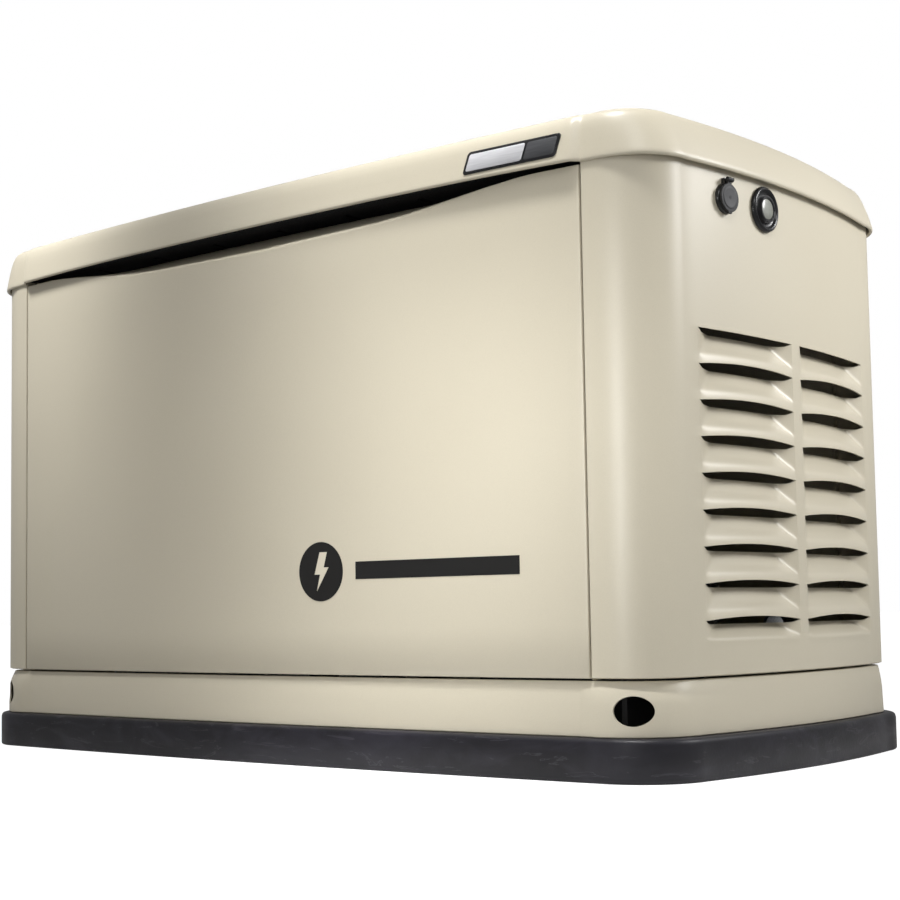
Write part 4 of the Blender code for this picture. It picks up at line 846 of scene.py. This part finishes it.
# Profiles of the turned pieces: how far out along the axis, and the radius there.
LOCK_BODY = ((-0.0230, 0.0105), (0.0004, 0.0105), (0.0004, 0.0169), (0.0010, 0.0175), (0.0034, 0.0173),
             (0.0050, 0.0166), (0.0056, 0.0158))
LOCK_CAP = ((0.0060, 0.0152), (0.0063, 0.0161), (0.0072, 0.0165), (0.0084, 0.0163), (0.0091, 0.0156),
            (0.0092, 0.0145))
CAP_FACE = ((0.0088, 0.0126), (0.0095, 0.0128), (0.0098, 0.0122), (0.0096, 0.0100), (0.0093, 0.0056),
            (0.0092, 0.0020))
for label, side in (("right", 1), ("left", -1)):
    spot = Vector(joints[f"lock_{label}_turn"]["pos_m"])
    out = Vector(joints[f"lock_{label}_turn"]["axis"]) * -1
    out = Vector((abs(out.x) * side, out.y, 0.0))
    body = turned_piece("body", LOCK_BODY)
    hollow = turned_piece("hollow", [(-0.03, 0.0074), (0.02, 0.0074)])
    cut(body, hollow)
    ear = block("ear", (0.0006, -0.0050, 0.0120), (0.0060, 0.0050, 0.0228))
    body = join_shapes(body, ear)
    soften(body, 0.0005)
    body.name = body.data.name = f"lock_ring_{label}"
    settle(seat_at(body, spot, out), "enclosure", "black", black, f"lock_body_{label}")
    cap = turned_piece("cap", LOCK_CAP)
    strap = block("strap", (0.0064, -0.0036, 0.0125), (0.0090, 0.0036, 0.0205))
    bpy.ops.mesh.primitive_cylinder_add(
        vertices=24, radius=0.0027, depth=0.0098, location=(0.0092, 0, 0.0205), rotation=(math.pi / 2, 0, 0)
    )
    knuckle = bpy.context.object
    bpy.ops.object.transform_apply(location=True, rotation=True, scale=True)
    tab = block("tab", (0.0064, -0.0032, -0.0178), (0.0088, 0.0032, -0.0140))
    cap = join_shapes(cap, strap, knuckle, tab)
    soften(cap, 0.0004)
    cap.name = cap.data.name = f"lock_flap_{label}"
    settle(seat_at(cap, spot, out), f"cap_{label}", "rubber", rubber, f"lock_cap_{label}")
    face = turned_piece(f"lock_flap_face_{label}", CAP_FACE)
    settle(seat_at(face, spot, out), f"cap_{label}", "rubber", cap_grey)


# ------------------------------------------------------------------ status light
# A stepped black bezel pushed into the wall, with a groove round an inner collar, and a frosted
# grey lens over the lamps.
lens_grey, tree, shader = nodes_of("frosted lens", (0.40, 0.42, 0.39), 0.34)
tint(tree, shader, cloud(tree, 180.0, 4.0), (0.3, (0.20, 0.205, 0.175)), (0.7, (0.29, 0.30, 0.26)))
shader.inputs["Transmission Weight"].default_value = 0.15
shader.inputs["Coat Weight"].default_value = 0.3
bump(tree, shader, cloud(tree, 500.0, 2.0), 0.15, 0.0002)
low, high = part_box("status_bezel")
light_y, light_z = (low.y + high.y) / 2, (low.z + high.z) / 2
light_x, out = end_wall(light_y)
spot = Vector((light_x, light_y, light_z))
BEZEL = ((-0.0135, 0.0155), (0.0003, 0.0155), (0.0003, 0.0262), (0.0016, 0.0268), (0.0040, 0.0262),
         (0.0052, 0.0250), (0.0056, 0.0236), (0.0050, 0.0222), (0.0030, 0.0210), (0.0022, 0.0198),
         (0.0022, 0.0172), (0.0034, 0.0162), (0.0066, 0.0158), (0.0074, 0.0150), (0.0074, 0.0136),
         (0.0066, 0.0130))
LENS = ((-0.0100, 0.0122), (0.0052, 0.0122), (0.0060, 0.0118), (0.0065, 0.0105), (0.0067, 0.0060),
        (0.0068, 0.0015))
bezel = turned_piece("light_bezel", BEZEL, 64)
hollow = turned_piece("hollow", [(-0.03, 0.0126), (0.02, 0.0126)], 64)
cut(bezel, hollow)
settle(seat_at(bezel, spot, out), "enclosure", "black", black, "status_bezel")
lens = turned_piece("light_lens", LENS, 64)
settle(seat_at(lens, spot, out), "enclosure", "lens", lens_grey, "status_lens")


# ------------------------------------------------------------------ engine and alternator
# Sand-cast aluminium for the crankcase, finned barrels and end bell; black enamel for covers;
# copper windings and laminations in the alternator.
cast, tree, shader = nodes_of("cast aluminium", (0.50, 0.51, 0.52), 0.52, 0.85)
grain = cloud(tree, 380.0, 6.0)
tint(tree, shader, grain, (0.35, (0.40, 0.41, 0.42)), (0.65, (0.56, 0.57, 0.58)))
sheen(tree, shader, cloud(tree, 20.0, 4.0), (0.3, 0.45), (0.7, 0.62))
bump(tree, shader, grain, 0.4, 0.0006)
enamel, tree, shader = nodes_of("black enamel", (0.018, 0.018, 0.019), 0.32)
sheen(tree, shader, cloud(tree, 12.0, 3.0), (0.3, 0.28), (0.7, 0.42))
bump(tree, shader, cloud(tree, 900.0, 3.0), 0.15, 0.0002)
windings, tree, shader = nodes_of("laminations and windings", (0.42, 0.20, 0.09), 0.42, 0.7)
bands = tree.nodes.new("ShaderNodeTexWave")
bands.bands_direction = "X"
bands.inputs["Scale"].default_value = 260.0
place = tree.nodes.new("ShaderNodeTexCoord")
tree.links.new(place.outputs["Object"], bands.inputs["Vector"])
tint(tree, shader, bands.outputs["Fac"], (0.2, (0.24, 0.11, 0.05)), (0.8, (0.52, 0.27, 0.13)))
bump(tree, shader, bands.outputs["Fac"], 0.4, 0.0004)
steel, tree, shader = nodes_of("machined steel", (0.42, 0.42, 0.43), 0.30, 1.0)
sheen(tree, shader, cloud(tree, 260.0, 3.0, (1.0, 0.08, 0.08)), (0.3, 0.22), (0.7, 0.42))
finish_node(cast, "crankcase", "cylinder_front", "cylinder_rear", "end_bell", "flywheel_fan", "gas_regulator",
            "gas_inlet", "cable_hub")
finish_node(enamel, "rocker_cover_front", "rocker_cover_rear", "blower_housing", "air_box", "air_box_cover",
            "starter_motor")
finish_node(windings, "stator", "rotor")
finish_node(steel, "crankshaft")
finish_node(rubber, "isolator_front_left", "isolator_front_right", "isolator_rear_left",
            "isolator_rear_right", "gas_hose")

# Small service parts: a yellow spin-on oil filter and dipstick, and a pleated paper air filter.
yellow, tree, shader = nodes_of("yellow enamel", (0.72, 0.50, 0.04), 0.35)
tint(tree, shader, cloud(tree, 25.0, 4.0), (0.3, (0.64, 0.43, 0.03)), (0.7, (0.76, 0.54, 0.05)))
paper, tree, shader = nodes_of("filter paper", (0.72, 0.66, 0.42), 0.9)
fibres = cloud(tree, 600.0, 6.0, (1.0, 0.3, 1.0))
tint(tree, shader, fibres, (0.3, (0.60, 0.54, 0.32)), (0.7, (0.76, 0.70, 0.46)))
bump(tree, shader, fibres, 0.4, 0.0004)
finish_node(yellow, "oil_filter", "dipstick")
finish_node(paper, "air_filter")

# The silencer and its pipes are aluminised steel that heat has browned.
hot, tree, shader = nodes_of("heat-stained steel", (0.36, 0.31, 0.26), 0.5, 0.8)
stain = cloud(tree, 9.0, 8.0, (1, 1, 1), 1.5)
tint(tree, shader, stain, (0.30, (0.17, 0.13, 0.10)), (0.50, (0.33, 0.29, 0.25)), (0.72, (0.44, 0.42, 0.40)))
bump(tree, shader, cloud(tree, 220.0, 6.0), 0.3, 0.0005)
finish_node(hot, "muffler", "exhaust_pipe_front", "exhaust_pipe_rear")


# ------------------------------------------------------------------ controls and battery
# Moulded black housings, coloured keys, and a red battery lead.
mould, tree, shader = nodes_of("moulded black plastic", (0.020, 0.020, 0.022), 0.48)
tint(tree, shader, cloud(tree, 40.0, 4.0), (0.3, (0.015, 0.015, 0.017)), (0.7, (0.027, 0.027, 0.029)))
bump(tree, shader, cloud(tree, 620.0, 4.0), 0.3, 0.0003)
finish_node(mould, "control_box", "breaker_body", "battery")
for name, colour, names in (
    ("red moulding", (0.50, 0.025, 0.02), ("key_off", "breaker_toggle", "battery_lead")),
    ("green moulding", (0.03, 0.30, 0.09), ("key_auto",)),
    ("blue moulding", (0.03, 0.10, 0.36), ("key_manual",)),
):
    moulding, tree, shader = nodes_of(name, colour, 0.4)
    darker, lighter = tuple(c * 0.88 for c in colour), tuple(min(1.0, c * 1.08) for c in colour)
    tint(tree, shader, cloud(tree, 80.0, 3.0), (0.3, darker), (0.7, lighter))
    finish_node(moulding, *names)
